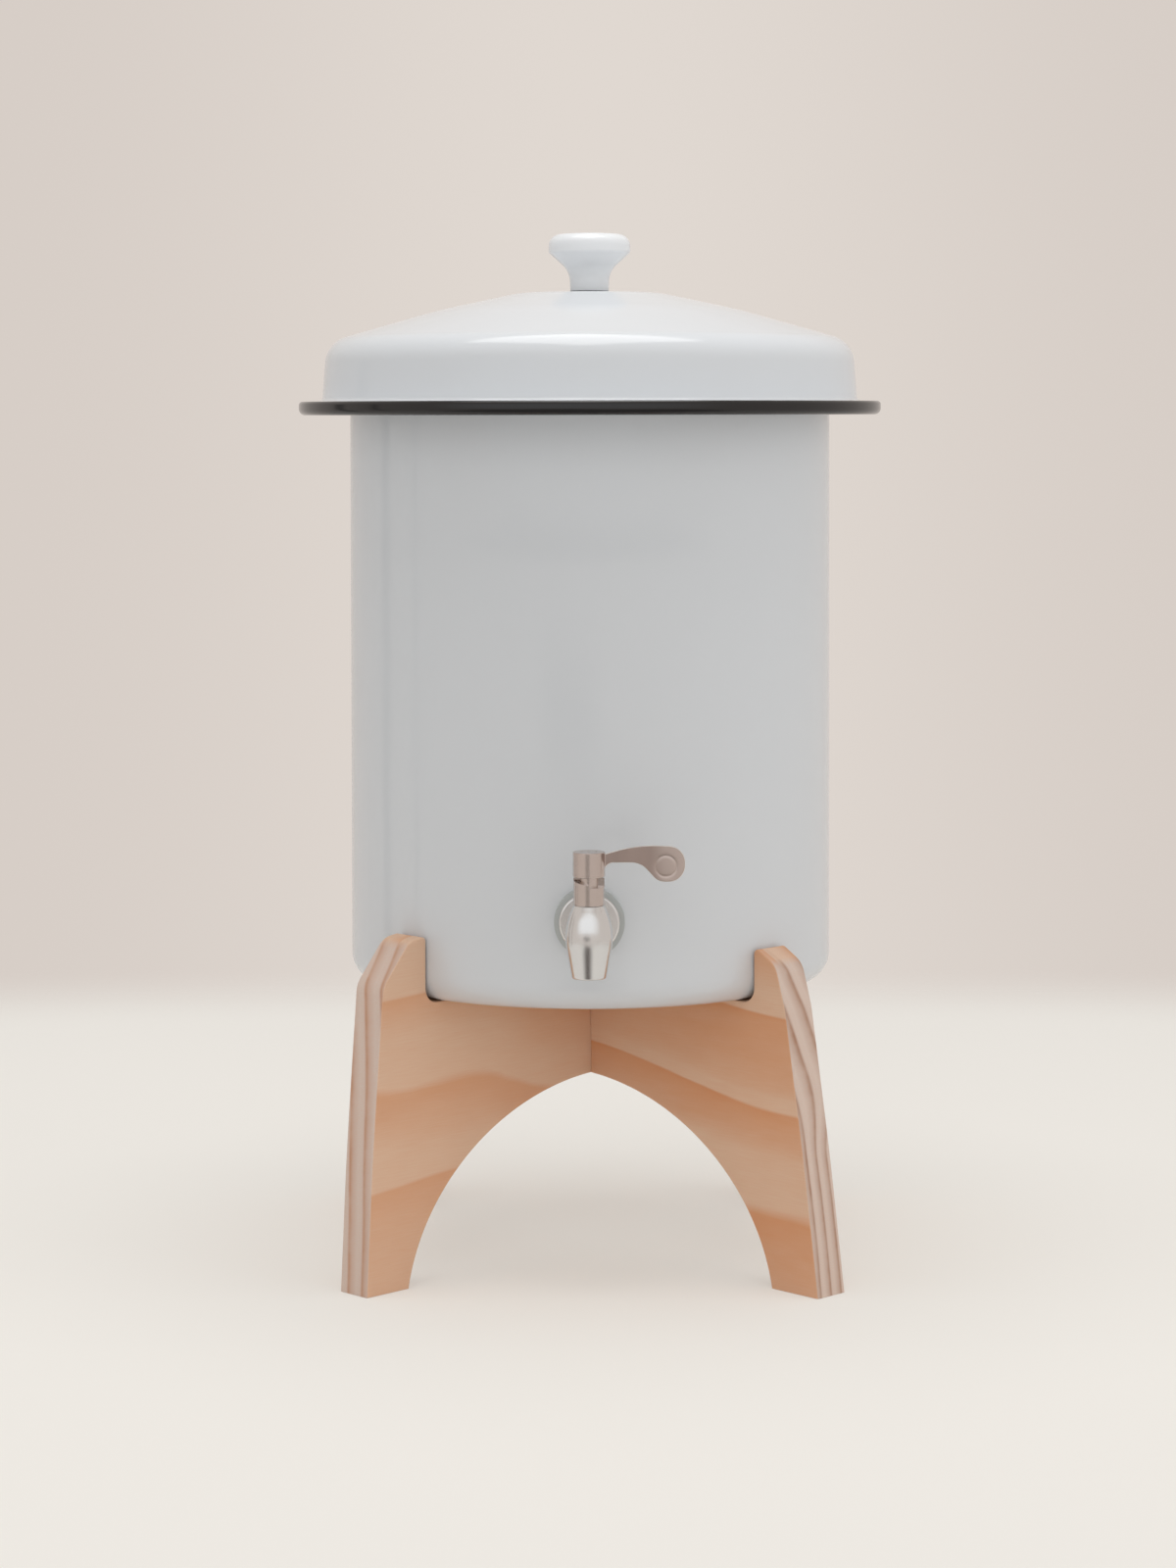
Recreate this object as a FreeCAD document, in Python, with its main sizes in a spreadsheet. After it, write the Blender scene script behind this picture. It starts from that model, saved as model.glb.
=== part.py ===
"""Gravity water filter with tap: an enamelled bucket and lid on a cross-lapped wooden stand.

Frame: millimetres, +Z up, origin on the floor under the bucket's axis, tap towards -Y.
Each sub-part is one object of the document, bound to the spreadsheet of driving sizes.
"""
import FreeCAD, Part

import math
import os

import Sketcher

doc = FreeCAD.newDocument("WaterFilter")

# ---------------------------------------------------------------- driving sizes

driving_sizes = [
    # stand
    ("SeatHeight", 169.4, "floor to the seat that the bucket stands on"),
    ("BoardThickness", 24.0, "dressed board"),
    ("BoardAngle", 45.0, "each board's turn from the front, degrees"),
    ("HornGap", 0.5, "bucket wall to the upright end of the horn"),
    ("HornTip", 3.0, "round of the horn's inner top corner"),
    ("LowerHornHeight", 40.6, "lower board: horn above the seat"),
    ("LowerCrestWidth", 13.5, "horn's inner edge to its crest corner, along the board"),
    ("LowerCrestDrop", 2.0, "crest corner below the horn's top"),
    ("LowerCrestRound", 14.0, "round of the crest corner"),
    ("LowerShoulderWidth", 34.5, "horn's inner edge to the shoulder"),
    ("LowerShoulderDrop", 27.5, "shoulder below the horn's top"),
    ("LowerShoulderRound", 14.0, "round of the shoulder"),
    ("LowerFlankWidth", 43.4, "horn's inner edge to the middle of the flank"),
    ("LowerFootWidth", 48.0, "horn's inner edge to the foot's outer corner"),
    ("UpperHornHeight", 34.8, "upper board: horn above the seat"),
    ("UpperCrestWidth", 18.0, "horn's inner edge to its crest corner, along the board"),
    ("UpperCrestDrop", 10.7, "crest corner below the horn's top"),
    ("UpperCrestRound", 14.0, "round of the crest corner"),
    ("UpperShoulderWidth", 25.5, "horn's inner edge to the shoulder"),
    ("UpperShoulderDrop", 36.2, "shoulder below the horn's top"),
    ("UpperShoulderRound", 40.0, "round of the shoulder"),
    ("UpperFlankWidth", 40.4, "horn's inner edge to the middle of the flank"),
    ("UpperFootWidth", 51.8, "horn's inner edge to the foot's outer corner"),
    ("FlankShare", 0.472, "middle of the flank, as a share of the seat's height"),
    ("FlankBow", 10.0, "radius of the flank, in seat heights"),
    ("SeatFillet", 9.0, "inner corner between seat and horn"),
    ("ArchHalfSpan", 167.0, "half the width of the arch's ellipse"),
    ("ArchRise", 130.0, "half the height of the arch's ellipse"),
    ("ArchSink", 20.0, "ellipse centre below the floor"),
    ("BoardEase", 1.0, "eased edges of the boards"),
    ("LapPlay", 0.35, "each side of the lap joint"),
    ("FloorMargin", 1.0, "edges lower than this keep their corners"),
    # bucket
    ("VesselRadius", 150.0, "outside of the bucket"),
    ("VesselHeight", 370.6, "base to the top of the rim bead"),
    ("VesselWall", 1.2, "enamelled sheet"),
    ("BaseCorner", 16.0, "corner between base and wall"),
    ("BeadBend", 1.3, "inside bend of the rolled rim"),
    ("BeadFlat", 0.4, "straight between two bends"),
    # pot and its ring
    ("SeatGap", 0.3, "between pieces that rest on each other and lift off"),
    ("RingWall", 2.0, "collar and skirt of the pot ring"),
    ("RingWeb", 3.0, "web under the pot's lip"),
    ("RingPlay", 0.7, "skirt outside the bucket's bead"),
    ("RingSkirt", 12.0, "skirt below the rim"),
    ("RingRound", 0.6, "edges of the pot ring"),
    ("CollarDrop", 0.95, "collar below the lid's cone, clear of the shoulder's bend"),
    ("PotPlay", 5.3, "pot inside the bucket"),
    ("PotRingPlay", 1.0, "web around the pot"),
    ("PotLipPlay", 0.5, "lip inside the collar"),
    ("PotLip", 16.7, "height of the lip"),
    ("PotLipRound", 4.0, "upper edges of the lip"),
    ("PotLipEdge", 1.2, "lower edge of the lip"),
    ("PotDepth", 223.0, "lip to the underside of the pot"),
    ("PotTaper", 11.5, "radius lost from lip to base"),
    ("PotWall", 14.0, "clay wall"),
    ("PotBase", 16.0, "clay base"),
    ("PotCorner", 24.0, "outer corner of the base"),
    ("PotInnerCorner", 17.0, "inner corner of the base"),
    # lid
    ("LidWall", 1.2, "enamelled sheet"),
    ("CrownRise", 57.8, "flat crown above the bucket's rim"),
    ("CrownRadius", 44.0, "flat crown"),
    ("CrownRound", 60.0, "bend at the crown"),
    ("BreakRise", 46.8, "change of slope above the rim"),
    ("BreakRadius", 95.0, "change of slope"),
    ("BreakRound", 300.0, "bend at the change of slope"),
    ("ShoulderRise", 26.8, "shoulder above the rim"),
    ("ShoulderReach", 14.6, "shoulder outside the bucket wall"),
    ("LidShoulderRound", 18.0, "bend at the shoulder"),
    ("SkirtFlare", 2.8, "radius gained down the skirt"),
    ("FlangeDrop", 10.0, "top of the flange below the bucket's rim"),
    ("FlangeBend", 3.0, "bend between skirt and flange"),
    ("FlangeReach", 14.6, "flange outside the skirt"),
    ("RollDepth", 8.5, "height of the rolled edge"),
    ("RollTopRound", 2.2, "upper bend of the roll"),
    ("RollSideRound", 4.0, "lower outer bend of the roll"),
    ("RollWidth", 8.6, "width of the roll"),
    ("RollInnerRound", 2.4, "lower inner bend of the roll"),
    ("RollReturn", 4.6, "height of the turned-up end"),
    # knob
    ("KnobGasketRadius", 12.1, "gasket under the knob"),
    ("KnobGasketThickness", 1.2, "gasket under the knob"),
    ("KnobFootRadius", 12.7, "knob on its gasket"),
    ("KnobFootRound", 0.5, "edge of the foot"),
    ("KnobNeckRadius", 15.0, "neck under the flare"),
    ("KnobNeckHeight", 18.0, "neck to the flare"),
    ("KnobNeckRound", 10.0, "hollow of the flare"),
    ("KnobHeadRadius", 26.2, "head"),
    ("KnobHeadHeight", 24.7, "underside of the head's edge"),
    ("KnobEdgeRound", 1.8, "lower edge of the head"),
    ("KnobRimHeight", 34.5, "upper edge of the head"),
    ("KnobRimRound", 5.5, "upper edge of the head"),
    ("KnobCrownRadius", 6.0, "flat of the dome"),
    ("KnobCrownRound", 15.0, "bend of the dome"),
    ("KnobHeight", 36.4, "gasket to the top"),
    ("KnobScrewRadius", 2.5, "screw shank"),
    ("KnobScrewGrip", 18.0, "screw inside the knob"),
    ("KnobScrewTip", 0.6, "edge of the screw's end"),
    ("ScrewPlay", 0.05, "round a screw shank"),
    ("KnobWasherRadius", 9.0, "washer under the lid"),
    ("KnobWasherThickness", 1.2, "washer under the lid"),
    ("ScrewHeadRadius", 4.8, "pan head"),
    ("ScrewHeadHeight", 3.2, "pan head"),
    ("ScrewHeadRound", 2.0, "pan head"),
    ("ScrewSocketRadius", 2.0, "hexagon socket, across corners / 2"),
    ("ScrewSocketDepth", 1.8, "hexagon socket"),
    # tap, measured from the inlet's axis and the valve's axis
    ("InletRise", 54.0, "inlet above the bucket's base"),
    ("ValveReach", 44.0, "bucket wall to the valve's axis"),
    ("SpoutDrop", 26.2, "inlet to the mouth of the spout"),
    ("SpoutRadius", 10.0, "mouth of the spout, outside"),
    ("SpoutEdge", 1.0, "edge of the mouth"),
    ("BulbRadius", 15.2, "bulb, before its round"),
    ("BulbRise", 1.5, "widest place above the inlet"),
    ("BulbRound", 40.0, "round of the bulb"),
    ("NeckRadius", 8.9, "bonnet, outside"),
    ("BonnetEdge", 0.5, "lower edge of the bonnet"),
    ("NeckRise", 16.1, "top of the cast body"),
    ("NeckEdge", 0.8, "edge of the cast body"),
    ("ChamberRadius", 6.45, "valve chamber"),
    ("ChamberDepth", 10.0, "valve seat below the inlet"),
    ("SeatRadius", 4.8, "valve seat's hole"),
    ("SeatThickness", 2.0, "valve seat"),
    ("OutletRadius", 8.3, "bore at the mouth"),
    ("OutletWaist", 6.8, "bore under the seat"),
    ("BossRadius", 10.0, "arm between bulb and flange"),
    ("TapFlangeRadius", 18.0, "flange"),
    ("TapFlangeThickness", 3.0, "flange"),
    ("TapFlangeRound", 1.4, "front edge of the flange"),
    ("ShankRadius", 7.9, "threaded shank"),
    ("ShankLength", 21.0, "flange to the shank's end"),
    ("ShankEdge", 0.8, "edge of the shank's end"),
    ("InletRadius", 5.0, "bore of the shank"),
    ("ShankPlay", 0.7, "bucket hole round the shank"),
    ("ThreadPlay", 0.05, "nut and bonnet threads"),
    ("OuterGasketRadius", 20.8, "silicone ring"),
    ("OuterGasketThickness", 3.0, "silicone ring at its middle"),
    ("InnerGasketRadius", 16.0, "inner gasket"),
    ("InnerGasketThickness", 2.6, "inner gasket at its middle"),
    ("GasketGap", 0.1, "gaskets to the curved wall"),
    ("TapWasherRadius", 15.0, "flat washer"),
    ("TapWasherThickness", 1.5, "flat washer"),
    ("TapNutFlats", 24.0, "across flats"),
    ("TapNutThickness", 7.0, "hexagon nut"),
    ("CutOvershoot", 1.0, "cuts run this far past the surface they open"),
    # bonnet with cam ramps
    ("BonnetStub", 8.0, "part screwed into the body"),
    ("BonnetRise", 15.8, "body to the hub's top"),
    ("HubRadius", 5.2, "hub inside the ramps"),
    ("RampFoot", 11.85, "low end of the ramps above the body"),
    ("RampLift", 2.8, "rise of the ramps over the lever's travel"),
    ("LeverTravel", 90.0, "closed to open, degrees"),
    ("RampOverrun", 1.0, "ramp beyond the travel, degrees"),
    ("NotchDrop", 1.35, "notch floor below the ramps' foot"),
    ("NotchAngle", 85.0, "notch, degrees"),
    # lever
    ("CapRadius", 9.3, "round cap"),
    ("CapRise", 16.4, "body to the cap's underside"),
    ("CapHeight", 14.4, "cap"),
    ("CapEdge", 0.5, "top edge of the cap"),
    ("TabAngle", 25.0, "tab's width, degrees"),
    ("TabInnerRadius", 5.8, "tab, inside"),
    ("TabGap", 0.3, "tab above its ramp"),
    ("TabRoot", 1.0, "tab inside the cap"),
    ("ArmTop", 13.1, "top of the arm above the cap's underside, at the cap"),
    ("ArmBottom", 8.2, "underside of the arm above the cap's underside"),
    ("ArmRoot", 8.9, "where the arm leaves the cap"),
    ("ArmInside", 5.4, "inner end of the arm, inside the cap"),
    ("ArmFoot", 2.0, "lower end of the arm's root above the cap's underside"),
    ("ArmFillet", 5.2, "under the arm at the cap"),
    ("ArmTurn", 15.7, "where the arm turns down, inside the disc's centre"),
    ("ArmBend", 12.0, "hollow under the arm"),
    ("ArmCrest", 16.1, "highest corner of the arm, inside the disc's centre"),
    ("ArmCrestRise", 1.55, "highest corner above the disc"),
    ("ArmCrestRound", 80.0, "top of the arm"),
    ("DiscCentre", 45.4, "valve axis to the thumb disc"),
    ("DiscDrop", 1.1, "disc centre below the underside of the arm"),
    ("DiscRadius", 10.0, "thumb disc"),
    ("DiscFlat", 0.5, "disc's radius less the round of its outer corners"),
    ("DiscHeel", 5.6, "where the disc's underside starts, inside its centre"),
    ("DiscHeelRound", 9.0, "round of the disc's underside"),
    ("PaddleThickness", 3.2, "paddle"),
    ("PaddleEase", 0.5, "edges of the paddle"),
    ("MedallionRadius", 6.2, "round recess in the disc"),
    ("MedallionDepth", 0.4, "round recess in the disc"),
    ("MedallionInset", 1.0, "recess left of the disc's centre"),
    ("MedallionDrop", 0.5, "recess below the disc's centre"),
    # stem and what is on it
    ("StemRadius", 2.5, "stem"),
    ("StemPlay", 0.05, "stem in its bores"),
    ("StemCollarRadius", 5.8, "collar that carries the spring"),
    ("StemCollarThickness", 1.5, "collar that carries the spring"),
    ("StemTailRadius", 2.0, "tail inside the stopper"),
    ("StemTailLength", 4.0, "tail inside the stopper"),
    ("StemHeadRadius", 2.0, "threaded top"),
    ("StemHeadLength", 3.4, "threaded top"),
    ("StopperRadius", 6.0, "silicone stopper"),
    ("StopperThickness", 4.4, "silicone stopper"),
    ("StopperRound", 0.9, "upper edge of the stopper"),
    ("StopperNoseRadius", 4.2, "nose inside the seat's hole"),
    ("StopperNoseTip", 3.0, "end of the nose"),
    ("StopperNoseLength", 2.8, "nose"),
    ("StopperGap", 0.05, "stopper above its seat"),
    ("SealWire", 0.9, "O-ring section, radius"),
    ("SealPlay", 0.05, "O-ring in its pocket"),
    ("SpringWire", 0.45, "wire radius"),
    ("SpringRadius", 5.3, "mean radius"),
    ("SpringTurns", 4.0, "turns"),
    ("CapNutRadius", 4.6, "round nut in the cap"),
    ("CapNutThickness", 2.4, "round nut in the cap"),
    ("CapNutPlay", 0.1, "nut in its pocket"),
    ("CapNutEdge", 0.4, "edge of the nut"),
    ("DimpleRadius", 1.5, "dimple in the nut"),
    ("DimpleDepth", 0.6, "dimple in the nut"),
]

sheet = doc.addObject("Spreadsheet::Sheet", "Sizes")
for row, (alias, value, note) in enumerate(driving_sizes, start=1):
    sheet.set(f"A{row}", note)
    sheet.set(f"B{row}", str(value))
    sheet.setAlias(f"B{row}", alias)
doc.recompute()


class Size:
    """A length or angle: its number and the spreadsheet expression that gives it."""

    def __init__(self, value, text):
        self.value = float(value)
        self.text = text

    def __add__(self, other):
        other = as_size(other)
        return Size(self.value + other.value, f"({self.text} + {other.text})")

    def __sub__(self, other):
        other = as_size(other)
        return Size(self.value - other.value, f"({self.text} - {other.text})")

    def __mul__(self, other):
        other = as_size(other)
        return Size(self.value * other.value, f"{self.text} * {other.text}")

    def __truediv__(self, other):
        other = as_size(other)
        return Size(self.value / other.value, f"({self.text} / ({other.text}))")

    def __radd__(self, other):
        return as_size(other) + self

    def __rsub__(self, other):
        return as_size(other) - self

    def __rmul__(self, other):
        return as_size(other) * self

    def __neg__(self):
        return Size(-self.value, f"(-1 * {self.text})")


def as_size(number):
    """A Size for a plain number, or the Size itself."""
    return number if isinstance(number, Size) else Size(number, repr(float(number)))


def root(size):
    """The square root of a Size."""
    return Size(math.sqrt(size.value), f"sqrt({size.text})")


class Sizes:
    """Reads a driving size by its alias: sizes.VesselRadius."""

    def __getattr__(self, alias):
        return Size(sheet.get(alias), f"Sizes.{alias}")


sizes = Sizes()


def bind(item, property_name, size):
    """Binds a property to the spreadsheet."""
    item.setExpression(property_name, as_size(size).text)


# ---------------------------------------------------------------- bodies and sketches

def new_body(label):
    body = doc.addObject("PartDesign::Body", label)
    body.Label = label
    return body


def origin_feature(body, role):
    for feature in body.Origin.OriginFeatures:
        if feature.Role == role:
            return feature
    raise ValueError(role)


def new_sketch(body, name, plane, height=None):
    """A sketch on one of the body's own origin planes, lifted off it by height."""
    sketch = body.newObject("Sketcher::SketchObject", f"{body.Label}_{name}")
    sketch.AttachmentSupport = [(origin_feature(body, plane), "")]
    sketch.MapMode = "FlatFace"
    if height is not None:
        bind(sketch, "AttachmentOffset.Base.z", height)
    return sketch


def pin_point(sketch, geometry, point, x, y):
    """Holds a point at x, y, each a Size or 0."""
    for kind, axis, size in (("DistanceX", -2, x), ("DistanceY", -1, y)):
        size = as_size(size)
        if size.value == 0 and "Sizes" not in size.text:
            sketch.addConstraint(Sketcher.Constraint("PointOnObject", geometry, point, axis))
        else:
            index = sketch.addConstraint(
                Sketcher.Constraint(kind, -1, 1, geometry, point, size.value))
            bind(sketch, f"Constraints[{index}]", size)


def unit(start, end):
    length = math.hypot(end[0] - start[0], end[1] - start[1])
    return (end[0] - start[0]) / length, (end[1] - start[1]) / length


def trimmed_corner(before, corner, after, radius):
    """Where an arc of this radius meets the two sides of a corner, and its centre."""
    d0 = unit(corner, before)
    d1 = unit(corner, after)
    half = math.acos(max(-1.0, min(1.0, d0[0] * d1[0] + d0[1] * d1[1]))) / 2
    cut = radius / math.tan(half)
    p0 = (corner[0] + d0[0] * cut, corner[1] + d0[1] * cut)
    p1 = (corner[0] + d1[0] * cut, corner[1] + d1[1] * cut)
    bisector = unit((0, 0), (d0[0] + d1[0], d0[1] + d1[1]))
    reach = radius / math.sin(half)
    centre = (corner[0] + bisector[0] * reach, corner[1] + bisector[1] * reach)
    return p0, p1, centre


def vector(point):
    return FreeCAD.Vector(point[0], point[1], 0)


def draw_path(sketch, corners, closed):
    """Lines through the corners, with arcs where a corner has a radius.

    A corner is (x, y) or (x, y, radius). Returns the lines, the arcs by corner number
    and the turning direction at each arc.
    """
    numbers = [tuple(as_size(part).value for part in corner) for corner in corners]
    count = len(corners)
    starts = [(n[0], n[1]) for n in numbers]
    ends = list(starts)
    centres = {}
    for i, number in enumerate(numbers):
        inner = closed or 0 < i < count - 1
        if inner and len(number) == 3 and number[2] > 0:
            before = numbers[i - 1]
            after = numbers[(i + 1) % count]
            ends[i], starts[i], centres[i] = trimmed_corner(before, number, after, number[2])
    line_count = count if closed else count - 1
    lines = []
    for i in range(line_count):
        segment = Part.LineSegment(vector(starts[i]), vector(ends[(i + 1) % count]))
        lines.append(sketch.addGeometry(segment, False))
    arcs, turns = {}, {}
    for i in range(count):
        into = lines[i - 1] if closed or i > 0 else None
        out = lines[i] if i < line_count else None
        if i in centres:
            arcs[i], turns[i] = add_arc(sketch, ends[i], starts[i], centres[i], into, out)
            index = sketch.addConstraint(
                Sketcher.Constraint("Radius", arcs[i], as_size(corners[i][2]).value))
            bind(sketch, f"Constraints[{index}]", corners[i][2])
            point = sketch.addGeometry(Part.Point(vector(numbers[i])), True)
            sketch.addConstraint(Sketcher.Constraint("PointOnObject", point, 1, into))
            sketch.addConstraint(Sketcher.Constraint("PointOnObject", point, 1, out))
            pin_point(sketch, point, 1, corners[i][0], corners[i][1])
        else:
            if into is not None and out is not None:
                sketch.addConstraint(Sketcher.Constraint("Coincident", into, 2, out, 1))
            if out is not None:
                pin_point(sketch, out, 1, corners[i][0], corners[i][1])
            else:
                pin_point(sketch, into, 2, corners[i][0], corners[i][1])
    return lines, arcs, turns


def add_arc(sketch, first, last, centre, into, out):
    """An arc from first to last, tangent to the lines on both sides."""
    a0 = math.atan2(first[1] - centre[1], first[0] - centre[0])
    a1 = math.atan2(last[1] - centre[1], last[0] - centre[0])
    turn = 1 if math.sin(a1 - a0) > 0 else -1
    radius = math.hypot(first[0] - centre[0], first[1] - centre[1])
    circle = Part.Circle(vector(centre), FreeCAD.Vector(0, 0, 1), radius)
    begin, finish = (a0, a1) if turn > 0 else (a1, a0)
    arc = sketch.addGeometry(Part.ArcOfCircle(circle, begin, finish), False)
    first_end, last_end = (1, 2) if turn > 0 else (2, 1)
    sketch.addConstraint(Sketcher.Constraint("Tangent", into, 2, arc, first_end))
    sketch.addConstraint(Sketcher.Constraint("Tangent", arc, last_end, out, 1))
    return arc, turn


def draw_outline(sketch, corners):
    """A closed outline."""
    draw_path(sketch, corners, closed=True)


def draw_sheet(sketch, corners, wall, side):
    """A bent sheet: an open path and its parallel at the wall's distance, closed at the ends.

    side is 1 for a wall on the left of the path and -1 for one on its right.
    """
    lines, arcs, turns = draw_path(sketch, corners, closed=False)
    numbers = [tuple(as_size(part).value for part in corner) for corner in corners]
    thickness = as_size(wall).value
    count = len(corners)
    normals = []
    for i in range(count - 1):
        along = unit(numbers[i], numbers[i + 1])
        normals.append((-along[1] * side * thickness, along[0] * side * thickness))
    starts, ends = [None] * count, [None] * count
    for i in range(count):
        line_normals = [normals[j] for j in (i - 1, i) if 0 <= j < count - 1]
        if i in arcs:
            before, after = numbers[i - 1], numbers[i + 1]
            p0, p1, centre = trimmed_corner(before, numbers[i], after, numbers[i][2])
            ends[i] = (p0[0] + line_normals[0][0], p0[1] + line_normals[0][1])
            starts[i] = (p1[0] + line_normals[1][0], p1[1] + line_normals[1][1])
        elif len(line_normals) == 2:
            n0, n1 = line_normals
            scale = thickness ** 2 / (thickness ** 2 + n0[0] * n1[0] + n0[1] * n1[1])
            point = (numbers[i][0] + (n0[0] + n1[0]) * scale,
                     numbers[i][1] + (n0[1] + n1[1]) * scale)
            ends[i] = starts[i] = point
        else:
            point = (numbers[i][0] + line_normals[0][0], numbers[i][1] + line_normals[0][1])
            ends[i] = starts[i] = point
    inner = []
    for i in range(count - 1):
        segment = Part.LineSegment(vector(starts[i]), vector(ends[i + 1]))
        line = sketch.addGeometry(segment, False)
        inner.append(line)
        sketch.addConstraint(Sketcher.Constraint("Parallel", lines[i], line))
        index = sketch.addConstraint(
            Sketcher.Constraint("Distance", line, 1, lines[i], thickness))
        bind(sketch, f"Constraints[{index}]", wall)
    for i in range(1, count - 1):
        if i in arcs:
            centre = trimmed_corner(numbers[i - 1], numbers[i], numbers[i + 1], numbers[i][2])[2]
            arc, _ = add_arc(sketch, ends[i], starts[i], centre, inner[i - 1], inner[i])
            radius = as_size(corners[i][2])
            radius = radius - wall if turns[i] == side else radius + wall
            index = sketch.addConstraint(Sketcher.Constraint("Radius", arc, radius.value))
            bind(sketch, f"Constraints[{index}]", radius)
        else:
            sketch.addConstraint(Sketcher.Constraint("Coincident", inner[i - 1], 2, inner[i], 1))
    for near, far, point in ((lines[0], inner[0], 1), (lines[-1], inner[-1], 2)):
        first, last = (numbers[0], starts[0]) if point == 1 else (numbers[-1], ends[-1])
        cap = sketch.addGeometry(Part.LineSegment(vector(first), vector(last)), False)
        sketch.addConstraint(Sketcher.Constraint("Coincident", cap, 1, near, point))
        sketch.addConstraint(Sketcher.Constraint("Coincident", cap, 2, far, point))
        sketch.addConstraint(Sketcher.Constraint("Perpendicular", cap, near))


def draw_circle(sketch, x, y, radius):
    radius = as_size(radius)
    centre = (as_size(x).value, as_size(y).value)
    circle = sketch.addGeometry(
        Part.Circle(vector(centre), FreeCAD.Vector(0, 0, 1), radius.value), False)
    index = sketch.addConstraint(Sketcher.Constraint("Radius", circle, radius.value))
    bind(sketch, f"Constraints[{index}]", radius)
    if centre == (0.0, 0.0):
        sketch.addConstraint(Sketcher.Constraint("Coincident", circle, 3, -1, 1))
    else:
        pin_point(sketch, circle, 3, x, y)


def draw_ellipse(sketch, centre_y, half_width, half_height):
    """A level ellipse on the sketch's upright axis."""
    centre = FreeCAD.Vector(0, centre_y.value, 0)
    ellipse = sketch.addGeometry(
        Part.Ellipse(centre, half_width.value, half_height.value), False)
    sketch.exposeInternalGeometry(ellipse)
    major, minor = ellipse + 1, ellipse + 2
    pin_point(sketch, ellipse, 3, 0, centre_y)
    sketch.addConstraint(Sketcher.Constraint("Horizontal", major))
    for axis, half in ((major, half_width), (minor, half_height)):
        index = sketch.addConstraint(Sketcher.Constraint("Distance", axis, 2 * half.value))
        bind(sketch, f"Constraints[{index}]", 2 * half)


def draw_hexagon(sketch, corner_radius):
    """A hexagon about the sketch's origin, a corner to the right."""
    corner_radius = as_size(corner_radius)
    corners = [(math.cos(math.radians(60 * i)), math.sin(math.radians(60 * i)))
               for i in range(6)]
    sides = []
    for i in range(6):
        start = [part * corner_radius.value for part in corners[i]]
        end = [part * corner_radius.value for part in corners[(i + 1) % 6]]
        sides.append(sketch.addGeometry(Part.LineSegment(vector(start), vector(end)), False))
    ring = sketch.addGeometry(Part.Circle(
        FreeCAD.Vector(0, 0, 0), FreeCAD.Vector(0, 0, 1), corner_radius.value), True)
    sketch.addConstraint(Sketcher.Constraint("Coincident", ring, 3, -1, 1))
    index = sketch.addConstraint(Sketcher.Constraint("Radius", ring, corner_radius.value))
    bind(sketch, f"Constraints[{index}]", corner_radius)
    for i in range(6):
        sketch.addConstraint(Sketcher.Constraint("Coincident", sides[i - 1], 2, sides[i], 1))
        sketch.addConstraint(Sketcher.Constraint("PointOnObject", sides[i], 1, ring))
        if i > 0:
            sketch.addConstraint(Sketcher.Constraint("Equal", sides[0], sides[i]))
    sketch.addConstraint(Sketcher.Constraint("PointOnObject", sides[0], 1, -1))


# ---------------------------------------------------------------- features

def turned(body, name, sketch, axis="V_Axis", angle=None, cut=False, reverse=False):
    """A revolution of the sketch, or a groove where cut is true."""
    kind = "PartDesign::Groove" if cut else "PartDesign::Revolution"
    feature = body.newObject(kind, f"{body.Label}_{name}")
    feature.Profile = sketch
    feature.ReferenceAxis = (sketch, [axis])
    feature.Reversed = reverse
    feature.Angle = 360
    if angle is not None:
        bind(feature, "Angle", angle)
    return feature


def padded(body, name, sketch, length, symmetric=False, reverse=False):
    feature = body.newObject("PartDesign::Pad", f"{body.Label}_{name}")
    feature.Profile = sketch
    bind(feature, "Length", length)
    feature.SideType = "Symmetric" if symmetric else "One side"
    feature.Reversed = reverse
    return feature


def pocketed(body, name, sketch, length=None, symmetric=False, reverse=False):
    """A pocket of a length, or through everything where no length is given."""
    feature = body.newObject("PartDesign::Pocket", f"{body.Label}_{name}")
    feature.Profile = sketch
    feature.SideType = "Symmetric" if symmetric else "One side"
    if length is None:
        feature.Type = "ThroughAll"
    else:
        bind(feature, "Length", length)
    feature.Reversed = reverse
    return feature


def eased(body, name, base, radius, chosen, kind="Fillet"):
    """A fillet or chamfer on those edges of the base for which chosen(edge) is true."""
    doc.recompute()
    names = [f"Edge{i}" for i, edge in enumerate(base.Shape.Edges, start=1) if chosen(edge)]
    feature = body.newObject(f"PartDesign::{kind}", f"{body.Label}_{name}")
    feature.Base = (base, names)
    bind(feature, "Radius" if kind == "Fillet" else "Size", radius)
    return feature


def twice(body, name, originals, axis_sketch):
    """Repeats features half a turn round the sketch's upright axis."""
    pattern = body.newObject("PartDesign::PolarPattern", f"{body.Label}_{name}")
    pattern.Originals = originals
    pattern.Axis = (axis_sketch, ["V_Axis"])
    pattern.Angle = 360
    pattern.Occurrences = 2
    body.Tip = pattern
    return pattern


def turned_piece(label, corners):
    """A whole piece turned about the upright axis from one closed outline."""
    body = new_body(label)
    sketch = new_sketch(body, "profile", "XZ_Plane")
    draw_outline(sketch, corners)
    turned(body, "turned", sketch)
    return body


# ---------------------------------------------------------------- shared places

half_board = sizes.BoardThickness / 2
cut_through = 2 * sizes.BoardThickness
half_turn = 180
horn_face = sizes.VesselRadius + sizes.HornGap
arch_top = sizes.ArchRise - sizes.ArchSink
lap_height = (sizes.SeatHeight + arch_top) / 2
slot_end = 2 * sizes.SeatHeight
rim_top = sizes.SeatHeight + sizes.VesselHeight
vessel_inside = sizes.VesselRadius - sizes.VesselWall
bead_outside = sizes.VesselRadius + 2 * sizes.BeadBend + sizes.BeadFlat + sizes.VesselWall

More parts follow.
